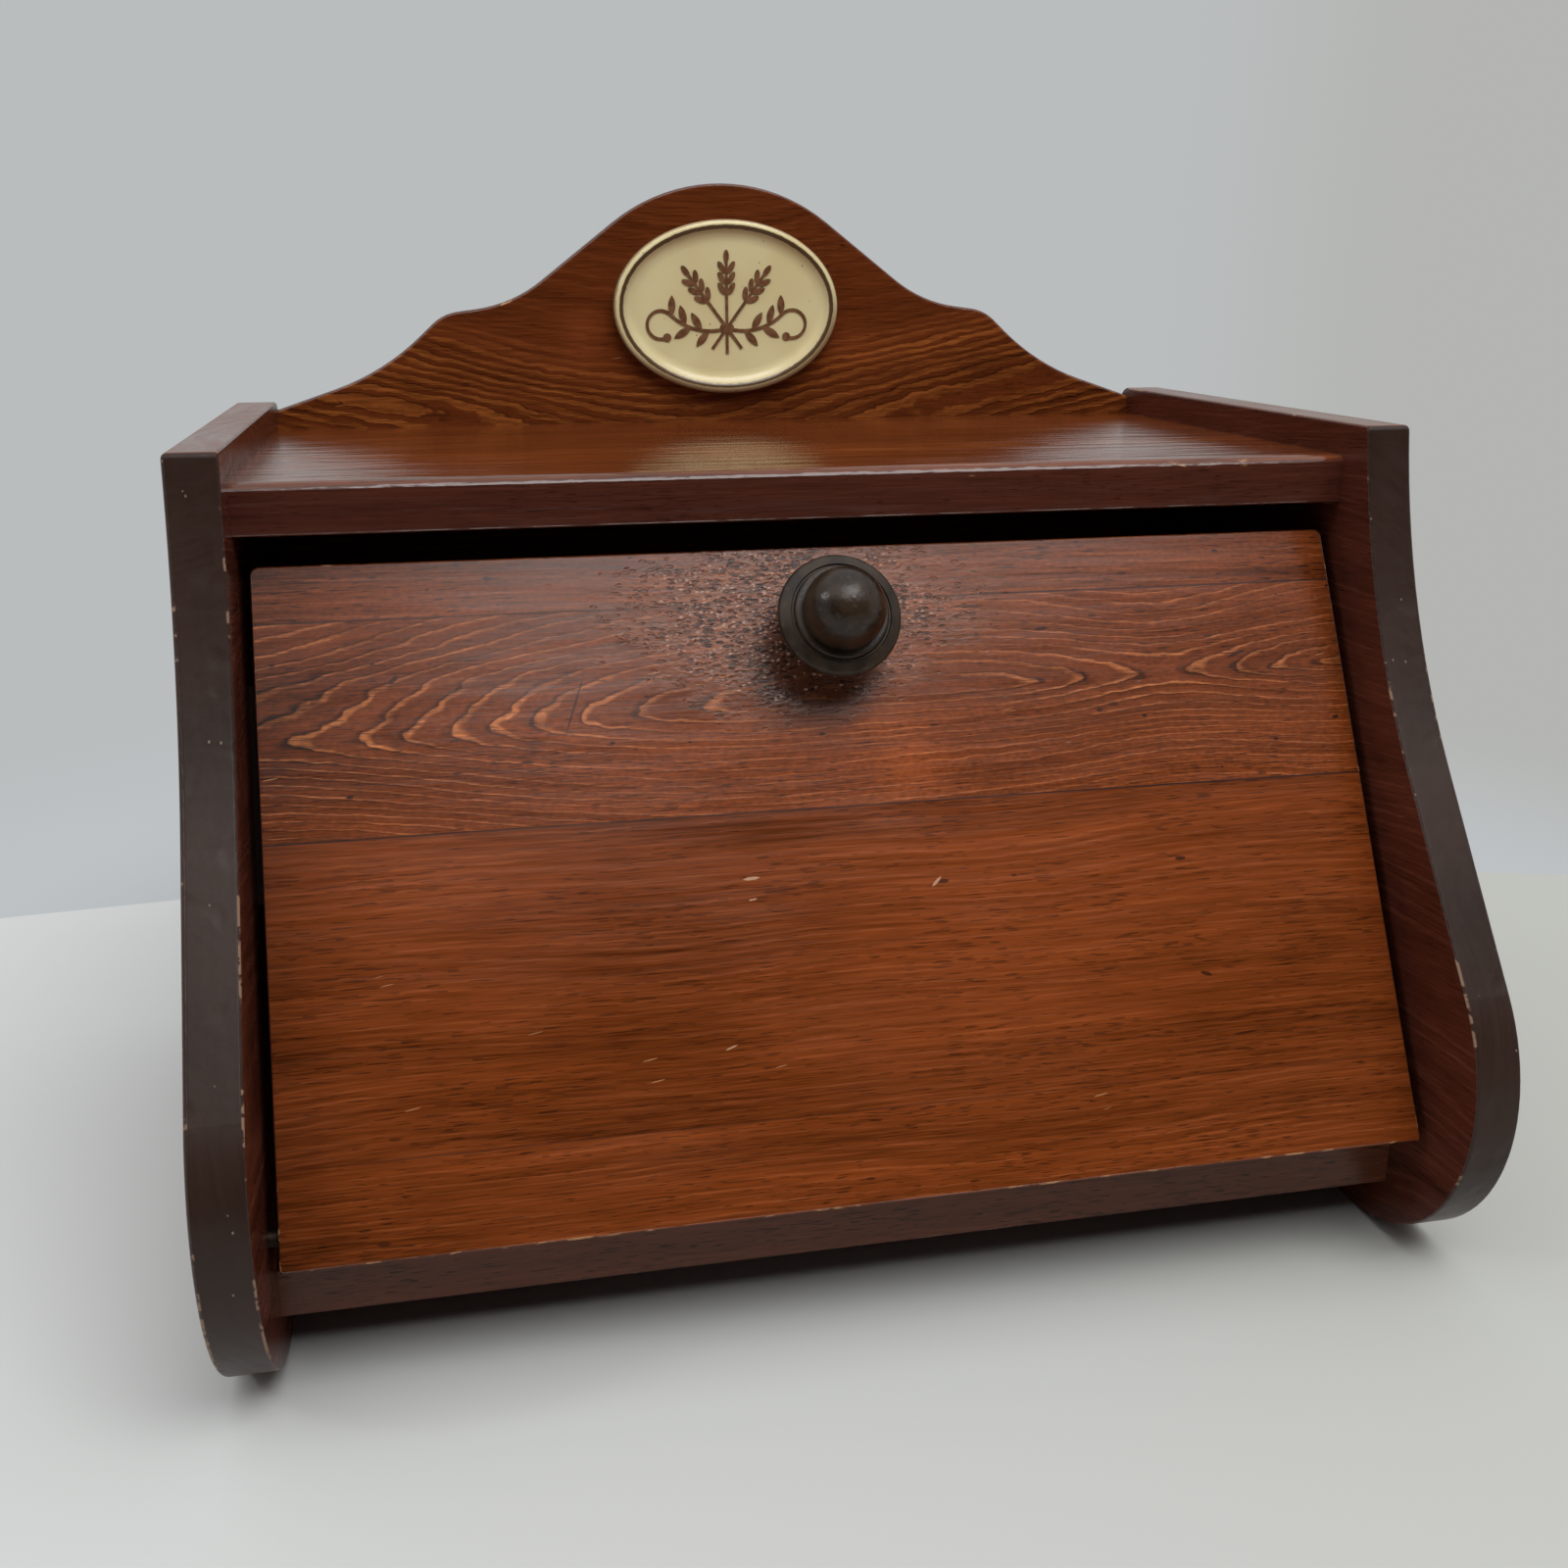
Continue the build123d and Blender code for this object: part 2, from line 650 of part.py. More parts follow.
# Oval plaque: flat field, dished wall, rounded rim, shallow pocket behind for the glue pad
plaque_plane = Plane(
    origin=(plaque_offset, back_front, side_height + plaque_center_rise),
    x_dir=(1, 0, 0),
    z_dir=(0, -1, 0),
)
field_plane = plaque_plane.offset(plaque_field_thick)
rim_plane = Plane(
    origin=field_plane.from_local_coords(Vector(plaque_width / 2, 0, 0)),
    x_dir=(-1, 0, 0),
    z_dir=(0, 0, 1),
)
with BuildPart() as plaque:
    with BuildSketch(plaque_plane):
        Ellipse(plaque_width / 2, plaque_height / 2)
    extrude(amount=plaque_field_thick)
    fillet(plaque.faces().sort_by(Axis.Y)[-1].edges(), plaque_back_arris)
    with BuildSketch(plaque_plane):
        Rectangle(glue_pad_width, glue_pad_height)
    extrude(amount=glue_pad_thick, mode=Mode.SUBTRACT)
    with BuildLine(field_plane):
        rim_path = EllipticalCenterArc(
            (0, 0), plaque_width / 2, plaque_height / 2, arc_size=360
        )
    with BuildSketch(rim_plane):
        with BuildLine():
            Line((0, 0), (0, plaque_rim_wall))
            EllipticalCenterArc(
                (plaque_rim_width, plaque_rim_wall),
                plaque_rim_width,
                plaque_rim_rise - plaque_rim_wall,
                start_angle=90,
                arc_size=90,
            )
            upper = TangentArc(
                (plaque_rim_width, plaque_rim_rise),
                (plaque_rim_width + plaque_bend_run, plaque_rim_rise - plaque_bend_drop),
                tangent=(1, 0),
            )
            TangentArc((plaque_dish_run, 0), upper @ 1, tangent=(-1, 0))
            Line((plaque_dish_run, 0), (0, 0))
        make_face()
    sweep(path=rim_path)
plaque.part.label = "plaque"

# Glue pad between the plaque and the crest board
with BuildPart() as plaque_glue:
    with BuildSketch(plaque_plane):
        Rectangle(glue_pad_width, glue_pad_height)
    extrude(amount=glue_pad_thick)
plaque_glue.part.label = "plaque_glue"

# Leaf and wheat grain, each a pointed oval laid along local X
with BuildSketch() as leaf:
    with BuildLine():
        leaf_back = ThreePointArc(
            (0, 0), (leaf_belly, leaf_width / 2), (leaf_length, 0)
        )
        ThreePointArc(leaf_back @ 1, (leaf_belly, -leaf_width / 2), (0, 0))
    make_face()
with BuildSketch() as grain:
    Ellipse(grain_length / 2, grain_width / 2)

# Ornament in low relief: three wheat ears tied over two scrolls
tie = Vector(0, -tie_below_middle)
with BuildSketch(field_plane) as ornament:
    for splay in (-ear_splay, 0, ear_splay):
        toward = Vector(sin(radians(splay)), cos(radians(splay)))
        across = Vector(toward.Y, -toward.X)
        tip = tie + toward * ear_length
        with BuildLine():
            Line(tie - toward * stalk_tail, tip)
        trace(line_width=stroke_width)
        with Locations(Location(tip, (0, 0, 90 - splay))):
            add(grain.sketch)
        for row in range(1, grain_rows + 1):
            for hand in (-1, 1):
                spot = tip - toward * row * grain_pitch + across * hand * grain_offset
                with Locations(Location(spot, (0, 0, 90 - splay - hand * grain_cant))):
                    add(grain.sketch)
    for hand in (-1, 1):
        with BuildLine():
            stalk = JernArc(
                tie, (hand, -tan(radians(scroll_dip))), scroll_radius, hand * scroll_turn
            )
            curl = JernArc(stalk @ 1, stalk % 1, curl_radius, -hand * curl_turn)
        trace(line_width=stroke_width)
        with Locations(curl @ 1):
            Circle(berry_radius)
        for side, places in ((1, leaves_above), (-1, leaves_below)):
            for along in places:
                heading = (stalk % along).rotate(Axis.Z, hand * side * leaf_turn)
                leaf_angle = degrees(atan2(heading.Y, heading.X))
                with Locations(Location(stalk @ along, (0, 0, leaf_angle))):
                    add(leaf.sketch)
    with Locations(tie):
        RectangleRounded(tie_width, tie_height, tie_corner)
with BuildPart() as plaque_ornament:
    extrude(ornament.sketch, amount=ornament_rise)
plaque_ornament.part.label = "plaque_ornament"

os.makedirs("parts", exist_ok=True)
for piece in (
    left_side,
    right_side,
    top_shelf,
    bottom_board,
    crest_board,
    back_board_middle,
    back_board_lower,
    door_foot_strip,
    door_wide_board,
    door_knob_board,
    door_head_strip,
    knob,
    knob_screw,
    hinge_pin_left,
    hinge_pin_right,
    door_stop_left,
    door_stop_right,
    stop_brads,
    back_brads,
    shelf_dowels,
    bottom_dowels,
    plaque,
    plaque_glue,
    plaque_ornament,
):
    export_step(piece.part, f"parts/{piece.part.label}.step")
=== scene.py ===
"""Bread box with a drop front: its finishes, its studio and its camera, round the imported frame."""

from __future__ import annotations

import logging
import math
from dataclasses import dataclass, field, replace
from enum import Enum, IntEnum
from typing import Sequence, Union

import bpy
from mathutils import Matrix, Vector


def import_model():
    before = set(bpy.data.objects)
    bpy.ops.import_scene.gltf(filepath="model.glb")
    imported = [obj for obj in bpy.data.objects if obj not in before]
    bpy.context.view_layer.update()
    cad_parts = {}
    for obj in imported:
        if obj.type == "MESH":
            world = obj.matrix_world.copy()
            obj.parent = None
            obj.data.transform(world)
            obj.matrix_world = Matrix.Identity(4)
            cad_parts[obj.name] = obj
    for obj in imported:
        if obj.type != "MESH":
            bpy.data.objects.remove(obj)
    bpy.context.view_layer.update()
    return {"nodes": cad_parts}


LOG = logging.getLogger("bread_box")
MM = 0.001
Triple = tuple[float, float, float]
Colour = tuple[float, float, float, float]
Socket = bpy.types.NodeSocket
Material = bpy.types.Material
Feed = Union["Value", Socket, float, Sequence[float]]
RIGHTWARD: Triple = (1.0, 0.0, 0.0)
BACKWARD: Triple = (0.0, 1.0, 0.0)
FORWARD: Triple = (0.0, -1.0, 0.0)
UPWARD: Triple = (0.0, 0.0, 1.0)
PREVIEW_BROWN: Colour = (0.3, 0.15, 0.08, 1.0)
NOISE_SHIFT: Triple = (17.3, 9.1, 5.7)
SPOT_SHIFT: Triple = (3.7, 8.3, 2.9)


def paint(red: float, green: float, blue: float) -> Colour:
    """Turns a colour as a screen shows it into the shader's own.

    Args:
        red: Red from 0 to 255.
        green: Green from 0 to 255.
        blue: Blue from 0 to 255.

    Returns:
        The linear colour, with full alpha.
    """

    def linear(part: float) -> float:
        """One part of the colour, made linear."""
        share = part / 255
        return share / 12.92 if share <= 0.04045 else ((share + 0.055) / 1.055) ** 2.4

    return linear(red), linear(green), linear(blue), 1.0


class Value:
    """A number that varies over a surface, with arithmetic that adds Math nodes."""

    def __init__(self, sheet: NodeSheet, socket: Socket) -> None:
        """Wraps one output socket of a node on a sheet."""
        self.sheet = sheet
        self.socket = socket

    def __add__(self, other: Feed) -> Value:
        """Sum."""
        return self.sheet.math("ADD", self, other)

    def __radd__(self, other: Feed) -> Value:
        """Sum, from the right."""
        return self.sheet.math("ADD", other, self)

    def __sub__(self, other: Feed) -> Value:
        """Difference."""
        return self.sheet.math("SUBTRACT", self, other)

    def __rsub__(self, other: Feed) -> Value:
        """Difference, from the right."""
        return self.sheet.math("SUBTRACT", other, self)

    def __mul__(self, other: Feed) -> Value:
        """Product."""
        return self.sheet.math("MULTIPLY", self, other)

    def __rmul__(self, other: Feed) -> Value:
        """Product, from the right."""
        return self.sheet.math("MULTIPLY", other, self)

    def __truediv__(self, other: Feed) -> Value:
        """Quotient."""
        return self.sheet.math("DIVIDE", self, other)

    def __rtruediv__(self, other: Feed) -> Value:
        """Quotient, from the right."""
        return self.sheet.math("DIVIDE", other, self)

    def __abs__(self) -> Value:
        """Size without sign."""
        return self.sheet.math("ABSOLUTE", self)

    def root(self) -> Value:
        """Square root."""
        return self.sheet.math("SQRT", self)

    def fract(self) -> Value:
        """What is left above the whole number below."""
        return self.sheet.math("FRACT", self)

    def most(self, other: Feed) -> Value:
        """The larger of the two."""
        return self.sheet.math("MAXIMUM", self, other)

    def bell(self, middle: float, spread: float) -> Value:
        """A bell curve, 1 high at its middle and six tenths one spread away."""
        away = (self - middle) / spread
        return self.sheet.math("EXPONENT", away * away * -0.5)

    def rise(self, low: Feed, high: Feed) -> Value:
        """A smooth step from 0 at low to 1 at high."""
        inputs = {"Value": self, "From Min": low, "From Max": high}
        return self.sheet.value("ShaderNodeMapRange", {"interpolation_type": "SMOOTHSTEP"}, inputs)

    def fall(self, low: Feed, high: Feed) -> Value:
        """A smooth step from 1 at low to 0 at high."""
        return 1.0 - self.rise(low, high)


class NodeSheet:
    """A node tree that is written as expressions."""

    def __init__(self, tree: bpy.types.NodeTree) -> None:
        """Starts from an emptied tree."""
        self.tree = tree
        tree.nodes.clear()

    def node(
        self,
        kind: str,
        settings: dict[str, object] | None = None,
        inputs: dict[str | int, Feed] | None = None,
    ) -> bpy.types.Node:
        """Adds a node.

        Args:
            kind: The node's type.
            settings: Its own settings, set first.
            inputs: Values or links of its sockets, by name or number.

        Returns:
            The node.
        """
        made = self.tree.nodes.new(kind)
        for name, setting in (settings or {}).items():
            setattr(made, name, setting)
        for name, source in (inputs or {}).items():
            self._feed(made.inputs[name], source)
        return made

    def _feed(self, target: Socket, source: Feed) -> None:
        """Sets a socket's value, or links it.

        Args:
            target: The socket.
            source: Its value, or what it is linked to.
        """
        if isinstance(source, Value):
            source = source.socket
        if isinstance(source, Socket):
            self.tree.links.new(source, target)
        else:
            target.default_value = source

    def value(
        self, kind: str, settings: dict[str, object], inputs: dict[str | int, Feed]
    ) -> Value:
        """The first output of a new node, as a number."""
        return Value(self, self.node(kind, settings, inputs).outputs[0])

    def math(self, operation: str, *terms: Feed) -> Value:
        """A Math node's result."""
        return self.value("ShaderNodeMath", {"operation": operation}, dict(enumerate(terms)))

    def vector(self, operation: str, *terms: Feed) -> Socket:
        """A Vector Math node's vector."""
        made = self.node("ShaderNodeVectorMath", {"operation": operation}, dict(enumerate(terms)))
        return made.outputs["Vector"]

    def dot(self, one: Feed, other: Feed) -> Value:
        """How far one vector reaches along another."""
        made = self.node("ShaderNodeVectorMath", {"operation": "DOT_PRODUCT"}, {0: one, 1: other})
        return Value(self, made.outputs["Value"])

    def scale(self, colour: Feed, amount: Feed) -> Socket:
        """A colour made lighter or darker by a factor.

        Args:
            colour: The colour.
            amount: The factor.

        Returns:
            Its new shade.
        """
        if isinstance(colour, tuple):
            colour = colour[:3]
        inputs = {0: colour, "Scale": amount}
        made = self.node("ShaderNodeVectorMath", {"operation": "SCALE"}, inputs)
        return made.outputs["Vector"]

    def mix(self, share: Feed, one: Feed, other: Feed) -> Socket:
        """One colour giving way to another as the share goes from 0 to 1."""
        settings = {"data_type": "RGBA", "clamp_factor": True}
        return self.node("ShaderNodeMix", settings, {0: share, 6: one, 7: other}).outputs[2]

    def measured_from(self, origin: Triple = (0.0, 0.0, 0.0)) -> Socket:
        """The surface's point from an origin, both in millimetres."""
        point = self.node("ShaderNodeTexCoord").outputs["Object"]
        return self.vector("MULTIPLY_ADD", point, (1 / MM,) * 3, tuple(-v for v in origin))

    def _stretched(self, place: Feed, period: Triple, shift: Triple, seed: float) -> Socket:
        """A point counted in a pattern's periods, and shifted by its seed."""
        scales = tuple(1 / size for size in period)
        return self.vector("MULTIPLY_ADD", place, scales, tuple(part * seed for part in shift))

    def noise(self, place: Feed, period: Triple, detail: float, seed: float) -> Value:
        """Cloudy noise, mostly between 0.3 and 0.7.

        Args:
            place: The point, in millimetres.
            period: The size of its clouds along each axis, in millimetres.
            detail: How many finer layers it has.
            seed: Shifts the pattern.

        Returns:
            The noise.
        """
        spot = self._stretched(place, period, NOISE_SHIFT, seed)
        inputs = {"Vector": spot, "Scale": 1.0, "Detail": detail}
        return self.value("ShaderNodeTexNoise", {}, inputs)

    def spots(self, place: Feed, cell: Triple, radius: float, share: Feed, seed: float) -> Value:
        """Scattered spots, as long and as wide as their cells are.

        Args:
            place: The point, in millimetres.
            cell: The size of the cells that may hold a spot each, in millimetres.
            radius: The spots' radius as a share of the cell.
            share: The share of cells that have one, which may vary over the surface.
            seed: Shifts the pattern.

        Returns:
            1 within a spot, 0 outside.
        """
        spot = self._stretched(place, cell, SPOT_SHIFT, seed)
        cells = self.node("ShaderNodeTexVoronoi", {}, {"Vector": spot, "Scale": 1.0})
        lot = self.dot(cells.outputs["Color"], RIGHTWARD)
        core, doubt = 0.7 * radius, 0.01
        near = Value(self, cells.outputs["Distance"]).fall(core, radius)
        return near * lot.fall(share - doubt, share + doubt)

    def joined(self, *parts: Feed) -> Socket:
        """A vector of up to three numbers."""
        return self.node("ShaderNodeCombineXYZ", {}, dict(enumerate(parts))).outputs[0]


def new_material(name: str) -> tuple[Material, NodeSheet]:
    """Makes a new material.

    Args:
        name: Its name.

    Returns:
        The material and the sheet of its tree.
    """
    material = bpy.data.materials.new(name)
    material.use_nodes = True
    return material, NodeSheet(material.node_tree)


def wear_material(piece: bpy.types.Object, material: Material) -> None:
    """Gives a piece that one material."""
    piece.data.materials.clear()
    piece.data.materials.append(material)


@dataclass
class Coat:
    """A finish while it is laid on: its colour, roughness, and relief in millimetres."""

    sheet: NodeSheet
    colour: Feed
    rough: Feed
    height: Feed

    def tint(self, share: Feed, colour: Feed) -> None:
        """Lays another colour over a share of the surface."""
        self.colour = self.sheet.mix(share, self.colour, colour)

    def dry(self, material: Material, shine: float = 0.5, metal: float = 0.0) -> None:
        """Ends a material's tree in its shader.

        Args:
            material: The material whose tree the coat is written on.
            shine: How strongly the surface reflects.
            metal: 1 for metal, 0 for anything else.
        """
        relief = {"Height": self.height, "Distance": MM}
        inputs = {
            "Base Color": self.colour,
            "Roughness": self.rough,
            "Metallic": metal,
            "Specular IOR Level": shine,
            "Normal": self.sheet.node("ShaderNodeBump", {}, relief).outputs[0],
        }
        shader = self.sheet.node("ShaderNodeBsdfPrincipled", {}, inputs)
        self.sheet.node("ShaderNodeOutputMaterial", {}, {"Surface": shader.outputs[0]})
        material.diffuse_color = PREVIEW_BROWN


class Gloss(Enum):
    """How shiny a coat of varnish is, as its roughness."""

    GLOSS = 0.13
    SATIN = 0.23


# What is added to a board's seed for each of its patterns, counted from 1
Draw = IntEnum(
    "Draw",
    "DRIFT JITTER PACE BAND STREAK FIBRE CLOUD BRUSH RIPPLE PORES PORE_ZONES FLECKS SCRATCHES "
    "GRIT DENTS CHIPS CHIP_ZONES SPECKS PITS GLINTS NICKS",
)


@dataclass(frozen=True)
class BoardAxes:
    """Where a board lies: a point on its face and three directions, in millimetres."""

    origin: Triple
    grain: Triple
    across: Triple
    through: Triple

    def place(self, sheet: NodeSheet) -> tuple[Socket, Value, Value, Value]:
        """The board's own coordinates.

        Args:
            sheet: The sheet they are written on.

        Returns:
            The point, and how far it is along the grain, across it and out of the face.
        """
        spot = sheet.measured_from(self.origin)
        parts = [sheet.dot(spot, axis) for axis in (self.grain, self.across, self.through)]
        return sheet.joined(*parts), *parts

    def facing(self, sheet: NodeSheet) -> tuple[Value, Value, Value]:
        """How far the surface faces along the grain, across it and out of the face."""
        normal = sheet.node("ShaderNodeTexCoord").outputs["Normal"]
        return tuple(sheet.dot(normal, axis) for axis in (self.grain, self.across, self.through))


@dataclass(frozen=True)
class Log:
    """How a board was cut from its log, in millimetres.

    Attributes:
        heart: How far across the board the log's middle lies.
        depth: How far behind the face it lies.
        ring: Thickness of a year's growth.
        hills: Places along the board where the middle lies deeper: place, spread and depth.
        lean: Rise of the grain across the board for each millimetre along it.
        sag: Place along the board that the grain sinks to, and how steeply.
        wander: Slow waviness of the rings.
        jitter: Fine waviness of the rings.
        contrast: How clearly the rings show, from 0 to 1.
        even: How clearly they show where they are cut steeply, as a share of the rest.
        hard: Share of each ring that is hard wood.
        dark: How dark the line at each ring's end is.
        pointed: How sharply the rings turn where they come to a tip, from 0 to 1.
        skew: How much wider they lie above the log's middle, as a share.
        clear: Distances from the log's middle between which the rings fade, or None.
        seed: Shifts every pattern of the board.
    """

    heart: float
    depth: float
    ring: float
    hills: tuple[Triple, ...] = ()
    lean: float = 0.0
    sag: tuple[float, float] | None = None
    wander: float = 5.0
    jitter: float = 1.0
    contrast: float = 0.4
    even: float = 0.4
    hard: float = 0.24
    dark: float = 0.3
    pointed: float = 0.0
    skew: float = 0.0
    clear: tuple[float, float] | None = None
    seed: float = 0.0

    def rings(self, grain: Grain) -> tuple[Value, Value, Value]:
        """The growth rings at a point.

        Args:
            grain: The board they run through.

        Returns:
            The hard wood of the ring from 0 to 1, the dark line at its end, and the distance
            from the log's middle.
        """
        drift = grain.noise((110.0, 60.0, 60.0), 0.0, Draw.DRIFT) - 0.5
        rough = grain.noise((9.0, 5.0, 5.0), 2.0, Draw.JITTER) - 0.5
        along, depth = grain.along, self.depth - grain.out
        for middle, spread, extra in self.hills:
            depth = depth + along.bell(middle, spread) * extra
        aside = grain.across - along * self.lean - self.heart + drift * (2 * self.wander)
        if self.sag is not None:
            lowest, slope = self.sag
            off, turn = along - lowest, 30.0
            aside = aside - (off * off + turn**2).root() * slope
        if self.skew:
            aside = aside - aside.most(0.0) * self.skew
        cone = depth * (1 - self.pointed)
        radius = (aside * aside + cone * cone).root()
        if self.pointed:
            radius = radius + depth * self.pointed
        flat = depth / radius.most(1.0)
        radius = radius + rough * self.jitter
        pace = grain.noise((400.0, 14.0, 14.0), 0.0, Draw.PACE)
        phase = (radius / self.ring + pace * 2.0).fract()
        end = 0.9
        start = end - self.hard
        late = phase.rise(start - 0.08, start + 0.08) * phase.fall(end, 0.98)
        line = phase.rise(0.91, 0.98) + phase.fall(0.0, 0.14)
        shown = (flat * flat * (1 - self.even) + self.even) * self.contrast
        if self.clear is not None:
            shown = shown * (aside.fall(*self.clear) * 0.88 + 0.12)
        return late * shown, line * shown * self.dark, radius


@dataclass(frozen=True)
class Stain:
    """Colours of stained, varnished pine: soft wood, hard rings, end grain, edges and wear."""

    early: Colour
    late: Colour
    end: Colour
    edge: Colour
    worn: Colour
    gloss: Gloss = Gloss.SATIN
    shine: float = 0.5


@dataclass(frozen=True)
class Scratch:
    """One straight scratch on a board's face, in the board's own millimetres."""

    start: tuple[float, float]
    end: tuple[float, float]
    width: float = 0.7
    colour: Colour = paint(44, 22, 15)

    def lay(self, grain: Grain) -> Value:
        """The scratch on the face.

        Args:
            grain: The board it is on.

        Returns:
            1 within the scratch, 0 outside.
        """
        run, climb = (b - a for a, b in zip(self.start, self.end))
        length = math.hypot(run, climb)
        ahead, above = grain.along - self.start[0], grain.across - self.start[1]
        part = (ahead * run + above * climb) / length**2
        aside = abs(ahead * climb - above * run) / length
        taper = part.rise(0.0, 0.35) * part.fall(0.6, 1.0)
        return (taper * (0.5 * self.width + 0.1) - aside).rise(0.0, 0.3)


@dataclass(frozen=True)
class Rubbed:
    """Crazed, grimy varnish that hands have rubbed round a knob, with the knob's shadow painted
    under it. Lengths are in millimetres.
    """

    along: float
    across: float
    spread: float
    patch_off: tuple[float, float] = (-11.0, 7.0)
    grime_and_shadow_off: tuple[float, float] = (-6.0, -11.0)
    stretch: float = 1.75

    def lay(self, grain: Grain) -> tuple[Value, Value, Value]:
        """The rubbed patch on a board's face.

        Args:
            grain: The board it is on.

        Returns:
            The patch from 0 to 1, its dark blotches, and the dirt and painted shadow under the knob.
        """
        sheet, place, along, across = grain.sheet, grain.place, grain.along, grain.across
        one = (along - (self.along + self.patch_off[0])) / self.stretch
        other = across - (self.across + self.patch_off[1])
        away = (one * one + other * other).root()
        ragged = (sheet.noise(place, (14.0, 9.0, 9.0), 2.0, 61.0) - 0.5) * (0.9 * self.spread)
        patch = (away + ragged).fall(0.5 * self.spread, 1.45 * self.spread)
        spots = sheet.noise(place, (6.0, 3.5, 3.5), 2.0, 63.0).rise(0.5, 0.64)
        side = along - (self.along + self.grime_and_shadow_off[0])
        low = across - (self.across + self.grime_and_shadow_off[1])
        near = (low * low + side * side).root() + ragged * 0.4
        grime_and_shadow = near.fall(0.5 * self.spread, 0.95 * self.spread)
        return patch, spots * patch, grime_and_shadow


@dataclass(frozen=True)
class Marks:
    """What years of use left on a board.

    Attributes:
        dashes: How dark the short open pores are.
        flecks: How dark the few larger marks are.
        specks: How dark the pinhead pits are.
        scratches: How light the scratches are.
        edge_wear: How much finish has gone from the edges, from 0 to 1.
        nicks: How pale the pinhead nicks in the sawn ends are.
        dents: Depth of the dents on the edges, in millimetres.
        seams: The glued seams: height in millimetres and how clearly each shows.
        patches: Lighter or darker places, some of them painted shade or light: along, across, their
            spreads and the amount.
        single: Scratches that stand out.
        relief: How strongly the varnish follows the grain.
        rubbed: The rubbed patch round a knob, or None.
    """

    dashes: float = 0.6
    flecks: float = 0.6
    specks: float = 0.0
    scratches: float = 0.6
    edge_wear: float = 0.4
    nicks: float = 0.0
    dents: float = 0.0
    seams: tuple[tuple[float, float], ...] = ()
    patches: tuple[tuple[float, float, float, float, float], ...] = ()
    single: tuple[Scratch, ...] = ()
    relief: float = 1.0
    rubbed: Rubbed | None = None


@dataclass(frozen=True)
class Dirt:
    """Colours that years of use leave in and on the varnish; some of them also paint sheen,
    highlights and shade round the knob.
    """

    pore: Colour = paint(40, 19, 11)
    fleck: Colour = paint(46, 24, 16)
    speck: Colour = paint(40, 20, 15)
    nick: Colour = paint(156, 142, 122)
    seam: Colour = paint(34, 16, 10)
    bloom_and_sheen: Colour = paint(206, 160, 140)
    blotch: Colour = paint(62, 36, 29)
    grime_and_shadow: Colour = paint(50, 26, 17)
    glint: Colour = paint(206, 166, 148)
    pit: Colour = paint(34, 18, 15)


class Grain:
    """A board's bare surface, which every step of its finish reads.

    Attributes:
        place, along, across, out: The point in the board, and how far it is along the grain,
            across it and out of the face.
        front, sawn: 1 on the face and 1 on the sawn ends, 0 elsewhere.
        edge, flat: How squarely the surface faces across the grain and out of the face.
        late, line: The rings' hard wood and the dark lines at their ends.
        band, streak, fibre, cloud: Broad and fine streaks, fibres and clouds.
    """

    def __init__(self, sheet: NodeSheet, axes: BoardAxes, log: Log) -> None:
        """Lays the board out on a sheet.

        Args:
            sheet: The sheet it is written on.
            axes: Where the board lies.
            log: How it was cut.
        """
        self.sheet, self.seed = sheet, log.seed
        self.place, self.along, self.across, self.out = axes.place(sheet)
        facing = axes.facing(sheet)
        ends, self.edge, self.flat = (abs(part) for part in facing)
        self.front, self.sawn = facing[2].rise(0.5, 0.9), ends.rise(0.3, 0.75)
        self.late, self.line, radius = log.rings(self)
        flow = sheet.joined(self.along, radius, self.out)
        self.band = sheet.noise(flow, (320.0, 9.0, 60.0), 1.0, self.seed + Draw.BAND)
        self.streak = sheet.noise(flow, (50.0, 1.5, 8.0), 2.0, self.seed + Draw.STREAK)
        self.fibre = self.noise((16.0, 0.5, 0.5), 1.0, Draw.FIBRE)
        self.cloud = self.noise((90.0, 50.0, 50.0), 2.0, Draw.CLOUD)

    def noise(self, period: Triple, detail: float, draw: Draw) -> Value:
        """Cloudy noise in the wood."""
        return self.sheet.noise(self.place, period, detail, self.seed + draw)

    def spots(self, cell: Triple, radius: float, share: Feed, draw: Draw) -> Value:
        """Scattered spots in the wood."""
        return self.sheet.spots(self.place, cell, radius, share, self.seed + draw)


